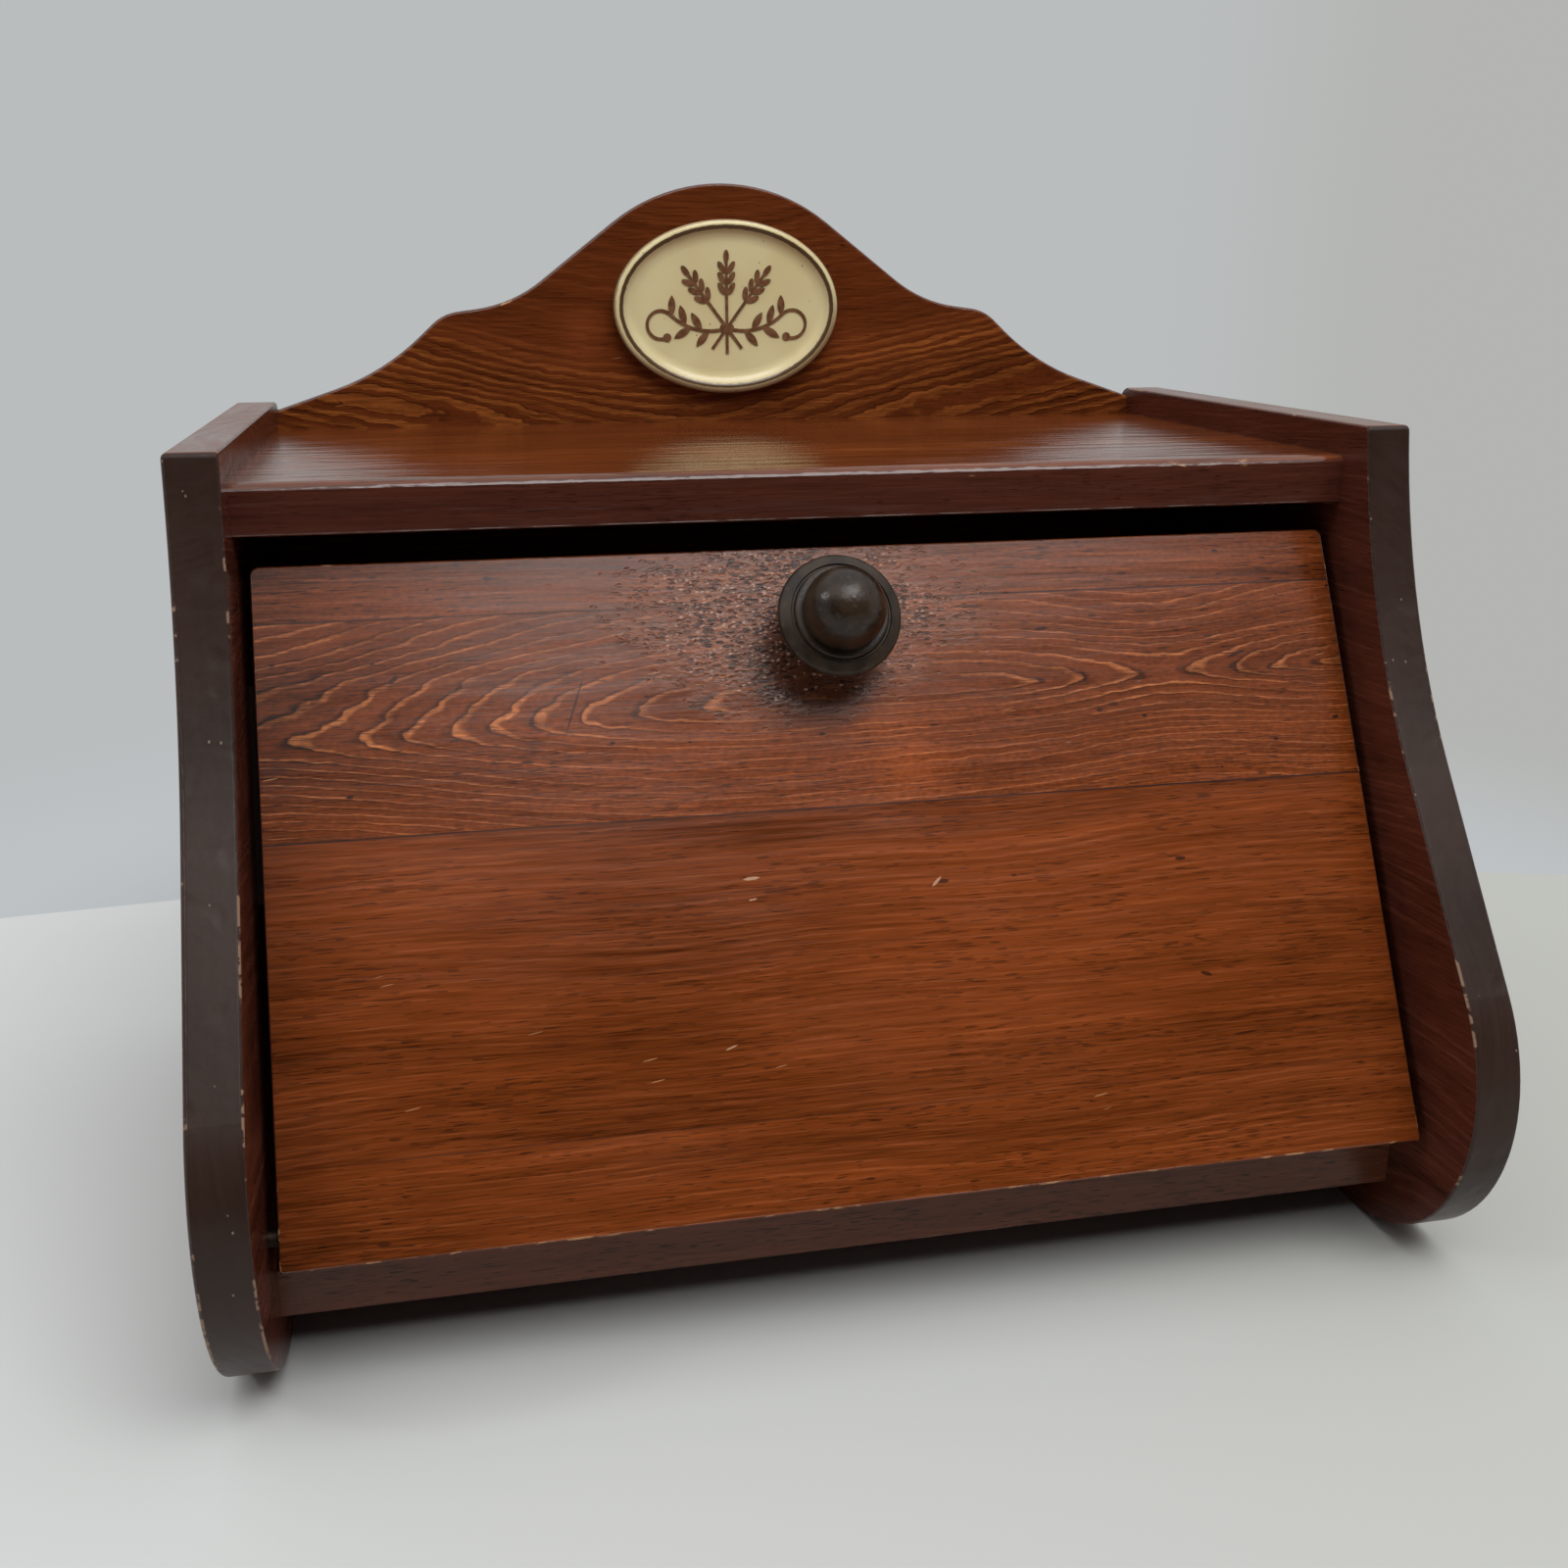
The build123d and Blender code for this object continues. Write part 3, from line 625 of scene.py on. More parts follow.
@dataclass(frozen=True)
class Pine:
    """The finish of one stained pine board."""

    name: str
    axes: BoardAxes
    log: Log
    stain: Stain
    marks: Marks
    dirt: Dirt = Dirt()

    def make(self) -> Material:
        """Builds the material.

        Returns:
            The material.
        """
        material, sheet = new_material(self.name)
        grain = Grain(sheet, self.axes, self.log)
        coat = self._stained(grain)
        self._mark(coat, grain)
        if self.marks.rubbed is not None:
            self._rub(coat, grain, self.marks.rubbed)
        self._wear_edges(coat, grain)
        coat.dry(material, self.stain.shine)
        return material

    def _stained(self, grain: Grain) -> Coat:
        """The first coat, whose stain follows the wood.

        Args:
            grain: The bare board.

        Returns:
            The coat.
        """
        sheet, stain = grain.sheet, self.stain
        band, streak = grain.band - 0.5, grain.streak - 0.5
        fibre, cloud = grain.fibre - 0.5, grain.cloud - 0.5
        clarity = (grain.fibre * 1.4 + 0.3) * (grain.streak.rise(0.3, 0.65) * 0.8 + 0.5)
        tone = 1.0 + band * 0.9 + streak * 0.85 + fibre * 1.1 + cloud * 0.5 - grain.line
        for middle, level, wide, high, amount in self.marks.patches:
            tone = tone + grain.along.bell(middle, wide) * grain.across.bell(level, high) * amount
        ripple = grain.noise((60.0, 6.0, 6.0), 2.0, Draw.RIPPLE)
        coat = Coat(
            sheet=sheet,
            colour=sheet.scale(sheet.mix(grain.late * clarity, stain.early, stain.late), tone),
            rough=stain.gloss.value + streak * 0.25 + cloud * 0.2 + grain.sawn * 0.14,
            height=(grain.fibre * 0.01 + ripple * 0.12) * self.marks.relief,
        )
        coat.tint(grain.edge.rise(0.6, 0.9), sheet.scale(stain.edge, tone * 0.7 + 0.3))
        brush = grain.noise((30.0, 60.0, 2.6), 1.0, Draw.BRUSH) - 0.5
        coat.tint(grain.sawn, sheet.scale(stain.end, 1.0 + brush * 0.3 + cloud * 0.9))
        return coat

    def _mark(self, coat: Coat, grain: Grain) -> None:
        """Adds pores, flecks, pinhead pits, scratches, nicks and the glued seams.

        Args:
            coat: The coat that they go into.
            grain: The bare board.
        """
        marks, dirt, lengthwise = self.marks, self.dirt, 1.0 - grain.sawn
        along, across, tilt = grain.along, grain.across, 0.16
        pores = grain.noise((6.0, 0.5, 0.5), 0.0, Draw.PORES)
        zones = grain.noise((50.0, 14.0, 14.0), 1.0, Draw.PORE_ZONES)
        coat.tint((pores + 0.4 * zones).rise(0.89, 0.94) * lengthwise * marks.dashes, dirt.pore)
        flecks = grain.spots((38.0, 14.0, 14.0), 0.06, 0.9, Draw.FLECKS)
        coat.tint(flecks * marks.flecks, dirt.fleck)
        if marks.specks:
            specks = grain.spots((15.0, 8.0, 8.0), 0.09, 0.8, Draw.SPECKS)
            coat.tint(specks * grain.front * marks.specks, dirt.speck)
        tilted = coat.sheet.joined(along + across * tilt, across - along * tilt, grain.out)
        shift = grain.seed + Draw.SCRATCHES
        scratches = coat.sheet.spots(tilted, (40.0, 3.0, 3.0), 0.07, 0.22, shift)
        coat.tint(scratches * lengthwise * marks.scratches, self.stain.worn)
        if marks.nicks:
            nicks = grain.spots((7.0, 7.0, 5.0), 0.08, 0.3, Draw.NICKS)
            coat.tint(nicks * grain.sawn * marks.nicks, dirt.nick)
        for scratch in marks.single:
            coat.tint(scratch.lay(grain) * grain.front * 0.8, scratch.colour)
        for level, clear in marks.seams:
            seam = abs(grain.across - level).fall(0.15, 0.5) * grain.flat.rise(0.5, 0.9)
            seam = seam * (grain.band.rise(0.3, 0.6) * 0.6 + 0.4) * clear
            coat.tint(seam, dirt.seam)
            coat.rough = coat.rough + seam * 0.1

    def _rub(self, coat: Coat, grain: Grain, rubbed: Rubbed) -> None:
        """Crazes and dirties the varnish round the knob, and paints sheen, highlights and shade onto
        it.

        Args:
            coat: The coat that is rubbed.
            grain: The bare board.
            rubbed: The rubbed patch.
        """
        dirt = self.dirt
        patch, spots, grime_and_shadow = rubbed.lay(grain)
        patch = patch * grain.front
        grit = grain.noise((2.0, 1.2, 1.2), 2.0, Draw.GRIT)
        pits = grain.spots((2.8, 1.3, 1.3), 0.58, patch * 0.9, Draw.PITS)
        # Painted highlights: pale specular dots scattered over the rubbed patch
        painted_glints = grain.spots((1.7, 1.0, 1.0), 0.45, patch * 0.7 - 0.3, Draw.GLINTS)
        coat.colour = coat.sheet.scale(coat.colour, 1.0 + (grit - 0.5) * 0.9)
        # Painted sheen: the rubbed patch is lightened as if it caught the light, over a real
        # clouding of the varnish
        coat.tint(patch * 0.2, dirt.bloom_and_sheen)
        coat.tint(spots * grain.front * 0.4, dirt.blotch)
        # Dirt and the knob's painted shadow, darkening the door under and left of the knob
        coat.tint(grime_and_shadow * grain.front * 0.7, dirt.grime_and_shadow)
        coat.tint(painted_glints * 0.5, dirt.glint)
        # Dark pits: dirt in the crazed varnish and painted shade in its hollows
        coat.tint(pits * grit.rise(0.42, 0.5) * (patch * 0.6 + 0.25), dirt.pit)
        coat.rough = coat.rough + patch * 0.08
        coat.height = coat.height + grit * patch * 0.25 - pits * 0.1

    def _wear_edges(self, coat: Coat, grain: Grain) -> None:
        """Dents the board and chips the varnish off its arrises.

        Args:
            coat: The coat that is worn.
            grain: The bare board.
        """
        if self.marks.dents:
            dents = grain.noise((13.0, 13.0, 9.0), 0.0, Draw.DENTS).rise(0.62, 0.85)
            coat.height = coat.height - dents * self.marks.dents
        arris = grain.flat.rise(0.2, 0.45) * grain.flat.fall(0.88, 0.98)
        fine = grain.noise((9.0, 3.5, 3.5), 2.0, Draw.CHIPS)
        zone = grain.noise((38.0, 38.0, 38.0), 0.0, Draw.CHIP_ZONES)
        level = 1.34 - 0.2 * self.marks.edge_wear
        worn = arris * (fine + zone).rise(level, level + 0.1)
        coat.tint(worn * 0.85, self.stain.worn)
        coat.rough = coat.rough + worn * 0.2
        coat.height = coat.height + arris * fine * 0.35


@dataclass(frozen=True)
class TurnedWood:
    """Dark varnish on the turned knob. Heights up the knob are in millimetres."""

    name: str
    centre: Triple
    axis: Triple
    dark: Colour = paint(36, 25, 17)
    light: Colour = paint(56, 42, 30)
    dust: Colour = paint(96, 78, 66)
    ball: tuple[float, float] = (26.0, 34.0)
    shine: float = 0.36

    def make(self) -> Material:
        """Builds the material, with the lathe's fine rings and a rubbed ball.

        Returns:
            The material.
        """
        material, sheet = new_material(self.name)
        spot = sheet.measured_from(self.centre)
        up = sheet.dot(spot, self.axis)
        reach = sheet.dot(spot, spot)
        radius = (reach - up * up).most(0.0).root()
        rings = sheet.noise(sheet.joined(radius, up), (0.55, 0.55, 1.0), 2.0, 3.0)
        cloud = sheet.noise(spot, (9.0, 9.0, 9.0), 3.0, 4.0)
        grit = sheet.noise(spot, (1.3, 1.3, 1.3), 2.0, 5.0)
        dirt = sheet.noise(spot, (2.4, 2.4, 2.4), 2.0, 6.0)
        dints = sheet.noise(spot, (4.0, 4.0, 4.0), 2.0, 7.0)
        rubbed = up.rise(*self.ball)
        coat = Coat(
            sheet=sheet,
            colour=sheet.mix(cloud.rise(0.35, 0.65), self.dark, self.light),
            rough=0.42 - rubbed * 0.16 + (cloud - 0.5) * 0.3,
            height=rings * 0.03 + grit * 0.06 + cloud * 0.15 + dints * rubbed * 0.22,
        )
        coat.tint(dirt.rise(0.6, 0.72) * 0.25, self.dust)
        coat.dry(material, self.shine)
        return material


@dataclass(frozen=True)
class Glaze:
    """Cream glaze of the oval plaque, with a brown line inside its rim and painted shade on its
    lower rim, in millimetres.
    """

    name: str
    centre: Triple
    half_width: float
    half_height: float
    line_from: float = 2.1
    line_to: float = 3.8
    cream: Colour = paint(240, 222, 168)
    pale: Colour = paint(248, 234, 182)
    clay_and_shade: Colour = paint(134, 96, 64)
    brown: Colour = paint(78, 46, 24)
    halo: Colour = paint(150, 112, 70)
    speck: Colour = paint(96, 62, 36)

    def make(self) -> Material:
        """Builds the material.

        Returns:
            The material.
        """
        material, sheet = new_material(self.name)
        spot = sheet.measured_from(self.centre)
        one = sheet.dot(spot, RIGHTWARD) / self.half_width
        other = sheet.dot(spot, UPWARD) / self.half_height
        shake = (sheet.noise(spot, (2.5, 2.5, 2.5), 2.0, 1.0) - 0.5) * 0.5
        oval = (one * one + other * other).root()
        steep_one, steep_other = one / self.half_width, other / self.half_height
        steep = (steep_one * steep_one + steep_other * steep_other).root().most(0.001)
        depth = (1.0 - oval) * oval / steep + shake
        cloud = sheet.noise(spot, (26.0, 26.0, 26.0), 2.0, 2.0)
        coat = Coat(
            sheet=sheet,
            colour=sheet.mix(cloud.rise(0.3, 0.7), self.cream, self.pale),
            rough=0.16 + (cloud - 0.5) * 0.1,
            height=sheet.noise(spot, (6.0, 6.0, 6.0), 2.0, 3.0) * 0.05,
        )
        thin = depth.fall(0.2, 1.1) * 0.75
        # Painted shade: the lower and lower-right rim darkened with the thin glaze's brown, which
        # the outer edge has all round
        below = depth.fall(1.7, 2.3) * (other - one * 0.35).fall(-0.7, 0.1) * 0.75
        coat.tint(thin.most(below), self.clay_and_shade)
        first = depth.rise(self.line_from - 0.25, self.line_from + 0.25)
        line = first * depth.fall(self.line_to - 0.25, self.line_to + 0.35)
        coat.tint(line * 0.95, self.brown)
        coat.tint(depth.rise(3.4, 4.0) * depth.fall(4.0, 6.5) * 0.22, self.halo)
        coat.tint(sheet.spots(spot, (7.0, 7.0, 7.0), 0.06, 0.9, 1.0) * 0.7, self.speck)
        coat.dry(material)
        return material


@dataclass(frozen=True)
class Relief:
    """Brown glaze on the ornament, darker down its sides."""

    name: str
    brown: Colour = paint(112, 74, 50)
    light: Colour = paint(138, 98, 68)
    deep: Colour = paint(58, 34, 20)

    def make(self) -> Material:
        """Builds the material.

        Returns:
            The material.
        """
        material, sheet = new_material(self.name)
        pool = sheet.noise(sheet.measured_from(), (2.2, 2.2, 2.2), 2.0, 1.0)
        facing = sheet.dot(sheet.node("ShaderNodeTexCoord").outputs["Normal"], FORWARD)
        top = sheet.mix(pool.rise(0.35, 0.65), self.brown, self.light)
        coat = Coat(sheet, top, rough=0.2 + pool * 0.1, height=pool * 0.05)
        coat.tint(facing.fall(0.75, 0.98), self.deep)
        coat.dry(material)
        return material


@dataclass(frozen=True)
class Plain:
    """A plain finish with a fine, cloudy variation."""

    name: str
    dark: Colour
    light: Colour
    rough: float
    metal: float = 0.0
    period: float = 3.0
    shine: float = 0.5

    def make(self) -> Material:
        """Builds the material.

        Returns:
            The material.
        """
        material, sheet = new_material(self.name)
        cloud = sheet.noise(sheet.measured_from(), (self.period,) * 3, 3.0, 1.0)
        colour = sheet.mix(cloud.rise(0.35, 0.65), self.dark, self.light)
        coat = Coat(sheet, colour, rough=self.rough + (cloud - 0.5) * 0.2, height=cloud * 0.03)
        coat.dry(material, self.shine, self.metal)
        return material


Finish = Union[Pine, TurnedWood, Glaze, Relief, Plain]


@dataclass
class Assembly:
    """Pieces of the box that are dressed together, by name."""

    nodes: dict[str, bpy.types.Object]
    dressed: list[str] = field(default_factory=list, init=False)

    def wear(self, finish: Finish, *pieces: str) -> None:
        """Gives pieces one finish.

        Args:
            finish: The finish.
            *pieces: Their names.
        """
        material = finish.make()
        for piece in pieces:
            wear_material(self.nodes[piece], material)
            self.dressed.append(piece)


class Side(Enum):
    """Which end of the box, as the sign of X."""

    LEFT = -1.0
    RIGHT = 1.0


CREST = Log(
    heart=-24.0,
    depth=8.0,
    ring=3.6,
    sag=(-20.0, 0.24),
    wander=6.0,
    jitter=3.0,
    contrast=0.48,
    even=0.9,
    hard=0.45,
    dark=0.8,
    clear=(24.0, 46.0),
    seed=43.0,
)


@dataclass
class Carcass(Assembly):
    """Sides, shelf, bottom and back of the box. Sizes are in millimetres and degrees."""

    inner_half: float = 186.6
    grain_rise: float = 5.0
    shelf_face: Triple = (0.0, -41.1, 264.0)
    bottom_face: Triple = (0.0, -114.3, 35.9)
    back_face: Triple = (0.0, 147.8, 264.0)
    dark: Stain = Stain(
        early=paint(80, 39, 28),
        late=paint(106, 58, 42),
        end=paint(50, 33, 26),
        edge=paint(106, 60, 41),
        worn=paint(150, 120, 98),
        shine=0.27,
    )
    warm: Stain = Stain(
        early=paint(104, 50, 22),
        late=paint(158, 92, 40),
        end=paint(60, 34, 24),
        edge=paint(79, 41, 30),
        worn=paint(196, 142, 92),
        gloss=Gloss.GLOSS,
        shine=0.58,
    )

    def dress(self) -> None:
        """Gives every board of the carcass its finish."""
        self._dress_sides()
        self._dress_level_boards()
        self._dress_back()

    def _dress_sides(self) -> None:
        """Side boards, their grain running front to back."""
        lean = math.radians(self.grain_rise)
        marks = Marks(0.3, 0.3, scratches=0.3, edge_wear=1.0, nicks=0.55, dents=0.2)
        for side, name in ((Side.LEFT, "left_side"), (Side.RIGHT, "right_side")):
            axes = BoardAxes(
                origin=(side.value * self.inner_half, 0.0, 0.0),
                grain=(0.0, -math.cos(lean), math.sin(lean)),
                across=(0.0, math.sin(lean), math.cos(lean)),
                through=(-side.value, 0.0, 0.0),
            )
            log = Log(90.0, 70.0, 2.4, wander=14.0, jitter=0.6, contrast=0.35, seed=20 + side.value)
            self.wear(Pine(f"{name}_finish", axes, log, self.dark, marks), name)

    def _dress_level_boards(self) -> None:
        """Top shelf and bottom board."""
        axes = BoardAxes(self.shelf_face, RIGHTWARD, BACKWARD, UPWARD)
        log = Log(heart=60.0, depth=50.0, ring=2.6, wander=8.0, contrast=0.25, seed=31.0)
        marks = Marks(dashes=0.5, scratches=0.4, edge_wear=0.0, relief=3.0)
        self.wear(Pine("shelf_finish", axes, log, self.warm, marks), "top_shelf")
        axes = replace(axes, origin=self.bottom_face)
        log = Log(heart=120.0, depth=60.0, ring=3.0, wander=10.0, contrast=0.2, seed=37.0)
        marks = Marks(dashes=0.8, scratches=0.2, edge_wear=0.3)
        self.wear(Pine("bottom_finish", axes, log, self.dark, marks), "bottom_board")

    def _dress_back(self) -> None:
        """Crest board and the two boards under it."""
        axes = BoardAxes(self.back_face, RIGHTWARD, UPWARD, FORWARD)
        bright = ((-60.0, 38.0, 6.0, 7.0, 0.5), (57.0, 34.0, 8.0, 6.0, 0.4))
        marks = Marks(dashes=0.4, scratches=0.4, edge_wear=0.1, patches=bright)
        self.wear(Pine("crest_finish", axes, CREST, self.warm, marks), "crest_board")
        for name, seed in (("back_board_middle", 47.0), ("back_board_lower", 53.0)):
            plain = Log(heart=30.0, depth=50.0, ring=3.0, wander=10.0, seed=seed)
            marks = Marks(edge_wear=0.2)
            self.wear(Pine(f"{name}_finish", axes, plain, self.warm, marks), name)


# How the boards of the drop front were cut, what wear they show, and what shade and light is painted
# on them
FOOT_STRIP = Log(heart=-90.0, depth=40.0, ring=2.2, wander=5.0, contrast=0.22, seed=3.0)
WIDE_BOARD = Log(heart=260.0, depth=60.0, ring=2.3, wander=6.0, contrast=0.16, seed=5.0)
HEAD_STRIP = Log(heart=330.0, depth=70.0, ring=2.6, wander=5.0, contrast=0.2, seed=9.0)
KNOB_BOARD = Log(
    heart=162.0,
    depth=1.6,
    ring=2.35,
    hills=((-200.0, 80.0, 25.0), (116.0, 30.0, 8.1)),
    lean=0.012,
    wander=3.0,
    jitter=1.5,
    contrast=0.85,
    even=0.35,
    hard=0.15,
    # The dark line at each ring's end is grain, made this strong to paint shade beside the raised
    # hard rings
    dark=0.6,
    pointed=0.65,
    skew=0.3,
    seed=7.0,
)
# Painted shade: the door darker along its left edge, beside the left side board
LEFT_EDGE_SHADE = (-184.0, 60.0, 13.0, 300.0, -0.28)
# Painted shade: the upper boards darker at their right end, beside the right side board
RIGHT_EDGE_SHADE = (186.0, 175.0, 5.0, 45.0, -0.3)
BARE_WOOD = paint(206, 160, 128)
WIDE_BOARD_MARKS = Marks(
    dashes=0.5,
    flecks=0.8,
    patches=(
        (-60.0, 78.0, 42.0, 38.0, -0.22),
        (45.0, 88.0, 50.0, 40.0, 0.2),
        (-150.0, 108.0, 24.0, 18.0, 0.16),
    ),
    single=(
        Scratch((-37.6, 104.4), (-30.2, 104.8), 1.1, BARE_WOOD),
        Scratch((-36.2, 97.6), (-32.0, 98.1), 0.6, BARE_WOOD),
        Scratch((24.6, 97.0), (29.1, 101.2), 1.0, BARE_WOOD),
        Scratch((-48.1, 51.3), (-42.5, 53.2), 0.6, BARE_WOOD),
        Scratch((112.8, 62.4), (118.2, 60.5), 1.4),
        Scratch((119.5, 40.6), (132.9, 41.4), 0.8),
    ),
)
KNOB_BOARD_MARKS = Marks(
    dashes=0.6,
    specks=0.85,
    # Painted light: the second patch is a brighter orange glow below and right of the knob
    patches=(RIGHT_EDGE_SHADE, (23.0, 139.0, 9.0, 10.0, 0.6), (-22.0, 145.0, 40.0, 10.0, 0.28)),
    single=(
        Scratch((-80.6, 177.6), (-90.6, 150.4), 0.8),
        Scratch((41.7, 191.6), (55.4, 191.0), 1.0),
        Scratch((70.6, 181.6), (77.0, 182.8), 1.4),
        Scratch((-143.0, 174.0), (-139.5, 177.0), 1.6),
        Scratch((139.0, 168.5), (148.0, 171.5), 1.2),
    ),
)
HEAD_STRIP_MARKS = Marks(dashes=0.8, specks=0.85, edge_wear=0.5, patches=(RIGHT_EDGE_SHADE,))


@dataclass
class DropFront(Assembly):
    """The slanted front of four boards. Sizes are in millimetres and degrees."""

    heel: Triple = (0.0, -136.4, 48.7)
    lean: float = 28.07
    seams: tuple[tuple[float, float], ...] = ((29.0, 0.4), (125.7, 1.0), (195.3, 0.8))
    knob_height: float = 185.19
    rubbed_reach: float = 30.0
    stain: Stain = Stain(
        early=paint(119, 56, 21),
        late=paint(180, 106, 60),
        end=paint(66, 34, 22),
        edge=paint(96, 48, 28),
        worn=paint(206, 150, 100),
        shine=0.28,
    )

    def axes(self) -> BoardAxes:
        """The plane of the front.

        Returns:
            The plane, measured from the middle of the front's lower edge.
        """
        lean = math.radians(self.lean)
        return BoardAxes(
            origin=self.heel,
            grain=RIGHTWARD,
            across=(0.0, math.sin(lean), math.cos(lean)),
            through=(0.0, -math.cos(lean), math.sin(lean)),
        )

    def dress(self) -> None:
        """Gives each board its own cut of pine, and the knob its varnish."""
        axes, near = self.axes(), Rubbed(0.0, self.knob_height, self.rubbed_reach)
        for name, log, marks, rubbed in (
            ("door_foot_strip", FOOT_STRIP, Marks(dashes=0.6, edge_wear=1.4), None),
            ("door_wide_board", WIDE_BOARD, WIDE_BOARD_MARKS, None),
            ("door_knob_board", KNOB_BOARD, KNOB_BOARD_MARKS, near),
            ("door_head_strip", HEAD_STRIP, HEAD_STRIP_MARKS, near),
        ):
            # Every board gets the painted shade along the door's left edge
            patches = (LEFT_EDGE_SHADE, *marks.patches)
            marks = replace(marks, seams=self.seams, patches=patches, rubbed=rubbed)
            self.wear(Pine(f"{name}_finish", axes, log, self.stain, marks), name)
        seat = tuple(a + b * self.knob_height for a, b in zip(axes.origin, axes.across))
        self.wear(TurnedWood("knob_finish", seat, axes.through), "knob")


@dataclass
class Plaque(Assembly):
    """The oval plaque and its ornament. Sizes are in millimetres."""

    centre: Triple = (1.0, 147.8, 311.4)
    width: float = 96.0
    height: float = 70.6

    def dress(self) -> None:
        """Glazes the plaque and its ornament."""
        glaze = Glaze("plaque_glaze", self.centre, self.width / 2, self.height / 2)
        glue = Plain("glue_finish", paint(170, 160, 130), paint(190, 182, 150), 0.4)
        self.wear(glaze, "plaque")
        self.wear(Relief("ornament_glaze"), "plaque_ornament")
        self.wear(glue, "plaque_glue")


@dataclass
class Fastenings(Assembly):
    """Pins, brads, screw, dowels and stops."""

    def dress(self) -> None:
        """Gives the small parts their steel, bare pine and dark stain."""
        steel = Plain("steel_finish", paint(120, 116, 110), paint(160, 156, 150), 0.35, 1.0, 1.5)
        dowel = Plain("dowel_finish", paint(196, 158, 108), paint(214, 180, 132), 0.6)
        stop = Plain("stop_finish", paint(26, 14, 10), paint(34, 19, 13), 0.8, 0.0, 12.0, 0.15)
        blacked = Plain("blacked_steel", paint(46, 38, 34), paint(66, 54, 48), 0.55, 1.0, 1.5)
        self.wear(steel, "knob_screw", "stop_brads", "back_brads")
        self.wear(blacked, "hinge_pin_left", "hinge_pin_right")
        self.wear(dowel, "shelf_dowels", "bottom_dowels")
        self.wear(stop, "door_stop_left", "door_stop_right")


@dataclass(frozen=True)
class Lamp:
    """A soft lamp: place and size in metres, power in watts."""

    place: Triple
    size: tuple[float, float]
    power: float


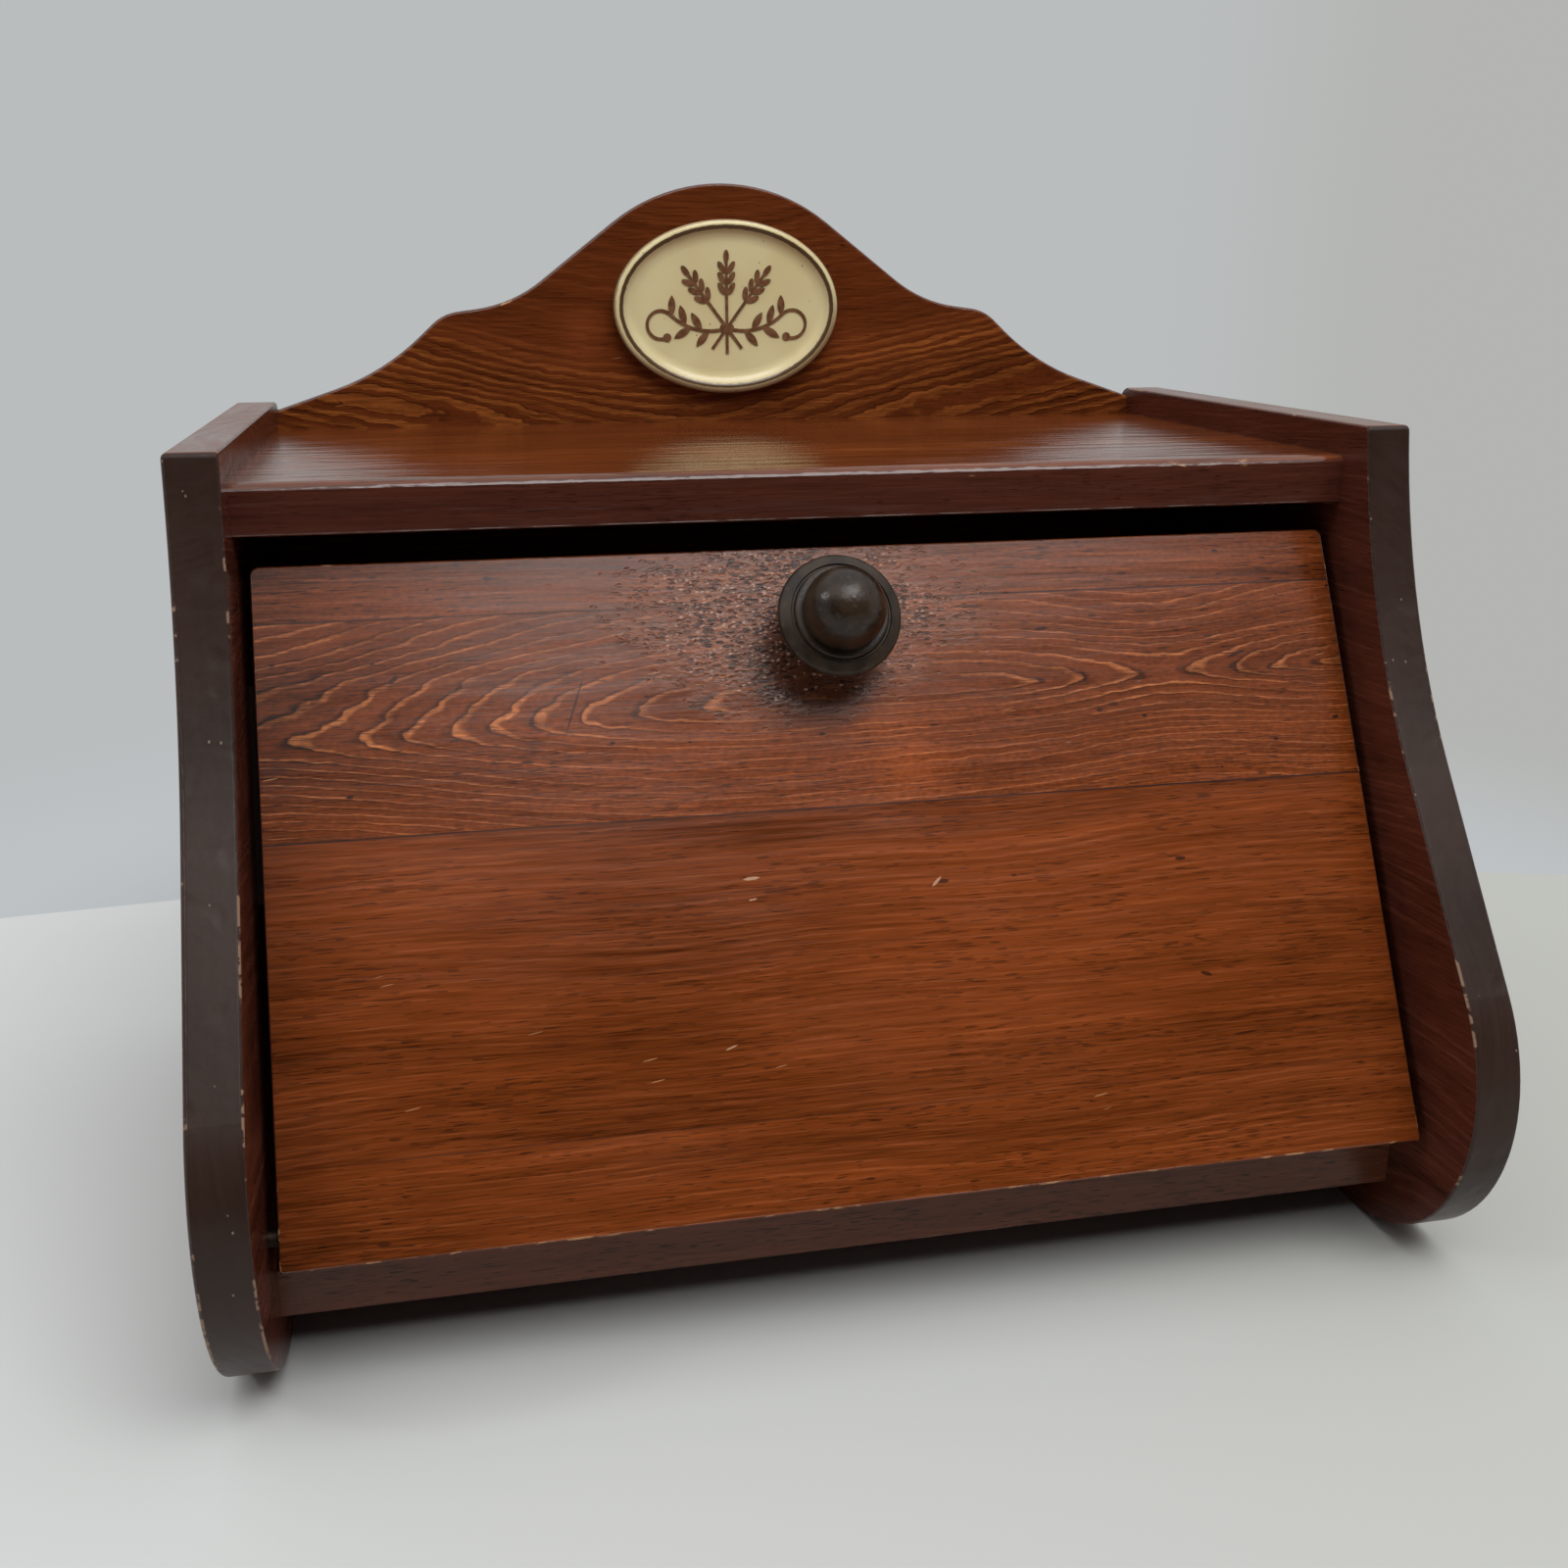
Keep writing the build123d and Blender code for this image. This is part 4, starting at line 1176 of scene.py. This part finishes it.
@dataclass
class Studio:
    """Floor, backdrop, light and camera, in metres, but lens and sensor in millimetres."""

    wall: Colour = paint(186, 189, 190)
    shaded_right_wall: Colour = paint(180, 181, 178)
    floor_left: Colour = paint(215, 217, 216)
    shaded_floor_right: Colour = paint(196, 197, 191)
    wall_foot: Colour = paint(194, 198, 201)
    card_black: Colour = paint(40, 38, 37)
    card_left: Triple = (-1.3, -0.95, 0.002)
    card_right: Triple = (1.6, -0.95, 0.86)
    sky_front: float = 1.35
    sky_back: float = 0.75
    floor_reach: float = 6.0
    lens: float = 37.3654
    sensor: float = 36.0
    nearest: float = 0.01
    eye: Triple = (-0.12375, -0.56449, 0.32425)
    right: Triple = (0.97843463, -0.20654517, -0.00218448)
    down: Triple = (-0.06365578, -0.29145204, -0.95446511)
    forward: Triple = (0.19650349, 0.93402077, -0.29831456)
    middle: Triple = (0.0, 0.0, 0.2)
    # Where the wall meets the floor: a point on the line, and its slope
    wall_left_line: Triple = (-0.365, 0.306, 0.092)
    wall_right_line: Triple = (0.441, 0.202, -0.323)
    over_viewer: Lamp = Lamp((0.36, -1.0, 1.75), (1.2, 0.9), 15.0)
    left_window: Lamp = Lamp((-1.33, -0.28, 1.08), (0.16, 0.24), 2.0)

    def make_camera(self) -> None:
        """Stands the camera where the photograph was taken from."""
        camera = bpy.data.objects.new("camera", bpy.data.cameras.new("camera"))
        bpy.context.scene.collection.objects.link(camera)
        camera.data.lens = self.lens
        camera.data.sensor_width = self.sensor
        camera.data.clip_start = self.nearest
        columns = (Vector(self.right), -Vector(self.down), -Vector(self.forward))
        turn = Matrix(columns).transposed().to_4x4()
        camera.matrix_world = Matrix.Translation(self.eye) @ turn
        bpy.context.scene.camera = camera

    def _wall_colour(self, sheet: NodeSheet, direction: Feed) -> Socket:
        """The backdrop's colour, with painted shade making it a little darker on the right.

        Args:
            sheet: The sheet it is written on.
            direction: The direction from where the viewer stands.

        Returns:
            The colour.
        """
        aim = sheet.vector("NORMALIZE", direction)
        across, ahead = sheet.dot(aim, RIGHTWARD), sheet.dot(aim, BACKWARD)
        shade = across.rise(0.4, 0.54) * ahead.rise(0.3, 0.6)
        return sheet.mix(shade, self.wall, self.shaded_right_wall)

    @staticmethod
    def _stand_paper(name: str, corners: Sequence[Triple]) -> bpy.types.Object:
        """Puts a four-cornered sheet of paper on the stage.

        Args:
            name: Its name.
            corners: Its corners, in order round it.

        Returns:
            The paper.
        """
        mesh = bpy.data.meshes.new(name)
        mesh.from_pydata(corners, [], [tuple(range(len(corners)))])
        paper = bpy.data.objects.new(name, mesh)
        bpy.context.scene.collection.objects.link(paper)
        return paper

    def make_floor(self) -> None:
        """Lays a wide floor that turns into the backdrop behind the box."""
        reach = self.floor_reach
        ends = ((-reach, -reach), (reach, -reach), (reach, reach), (-reach, reach))
        floor = self._stand_paper("floor", [(side, back, 0.0) for side, back in ends])
        material, sheet = new_material("floor_paper")
        point = sheet.node("ShaderNodeTexCoord").outputs["Object"]
        across, back = sheet.dot(point, RIGHTWARD), sheet.dot(point, BACKWARD)
        lines = [
            back - far - (across - side) * rise
            for side, far, rise in (self.wall_left_line, self.wall_right_line)
        ]
        behind = lines[0].most(lines[1]).rise(-0.001, 0.001)
        cloud = sheet.noise(point, (0.4, 0.4, 0.4), 2.0, 1.0)
        # Painted shade: the floor darker towards the right
        colour = sheet.mix(across.rise(-0.35, 0.45), self.floor_left, self.shaded_floor_right)
        colour = sheet.mix(behind, colour, self.wall_foot)
        colour = sheet.scale(colour, 0.98 + cloud * 0.04)
        paper = sheet.node("ShaderNodeBsdfDiffuse", {}, {"Color": colour})
        wall = self._wall_colour(sheet, sheet.vector("SUBTRACT", point, self.eye))
        glow = sheet.node("ShaderNodeEmission", {}, {"Color": wall, "Strength": 1.0})
        away = (across * across + back * back).root()
        far = (away.rise(0.42, 0.8) * behind).most(away.rise(0.9, 1.5))
        blended = {0: far, 1: paper.outputs[0], 2: glow.outputs[0]}
        blend = sheet.node("ShaderNodeMixShader", {}, blended)
        sheet.node("ShaderNodeOutputMaterial", {}, {"Surface": blend.outputs[0]})
        wear_material(floor, material)

    def make_world(self) -> None:
        """Puts the box in a pale room with a bright ceiling."""
        world = bpy.data.worlds.new("room")
        bpy.context.scene.world = world
        world.use_nodes = True
        sheet = NodeSheet(world.node_tree)
        direction = sheet.node("ShaderNodeTexCoord").outputs["Generated"]
        back, up = sheet.dot(direction, BACKWARD), sheet.dot(direction, UPWARD)
        front, rear = ((level,) * 3 + (1.0,) for level in (self.sky_front, self.sky_back))
        ceiling = sheet.mix(back.rise(-0.6, 0.6), front, rear)
        room = sheet.mix(up.rise(0.6, 0.8), self._wall_colour(sheet, direction), ceiling)
        glow = sheet.node("ShaderNodeBackground", {}, {"Color": room, "Strength": 1.0})
        sheet.node("ShaderNodeOutputWorld", {}, {"Surface": glow.outputs[0]})

    def make_card(self) -> None:
        """Stands a black card behind the viewer, which keeps glare off the lower front."""
        (left, place, low), (right, _, high) = self.card_left, self.card_right
        ends = ((left, high), (right, high), (right, low), (left, low))
        card = self._stand_paper("black_card", [(side, place, level) for side, level in ends])
        card.visible_camera = False
        material, sheet = new_material("black_card_paper")
        paper = sheet.node("ShaderNodeBsdfDiffuse", {}, {"Color": self.card_black})
        sheet.node("ShaderNodeOutputMaterial", {}, {"Surface": paper.outputs[0]})
        wear_material(card, material)

    def hang_lamp(self, name: str, lamp: Lamp) -> None:
        """Hangs a lamp that shines on the middle of the box.

        Args:
            name: The lamp's name.
            lamp: Its place, size and power.
        """
        data = bpy.data.lights.new(name, "AREA")
        data.shape = "RECTANGLE"
        data.size, data.size_y = lamp.size
        data.energy = lamp.power
        hung = bpy.data.objects.new(name, data)
        bpy.context.scene.collection.objects.link(hung)
        hung.location = lamp.place
        hung.visible_camera = False
        aim = Vector(self.middle) - hung.location
        hung.rotation_euler = aim.to_track_quat("-Z", "Y").to_euler()

    def build(self) -> None:
        """Sets up floor, light and view."""
        self.make_floor()
        self.make_card()
        self.make_world()
        self.hang_lamp("soft_lamp", self.over_viewer)
        self.hang_lamp("window_lamp", self.left_window)
        bpy.context.scene.view_settings.view_transform = "Standard"


def main() -> None:
    """Builds the studio and dresses the box, piece by piece."""
    logging.basicConfig(level=logging.INFO, format="%(name)s: %(message)s")
    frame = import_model()
    studio = Studio()
    studio.make_camera()
    studio.build()
    nodes = frame["nodes"]
    for assembly in (Carcass(nodes), DropFront(nodes), Plaque(nodes), Fastenings(nodes)):
        assembly.dress()
        for piece in assembly.dressed:
            LOG.info("%s: %s dressed", type(assembly).__name__, piece)


if __name__ == "__main__":
    main()
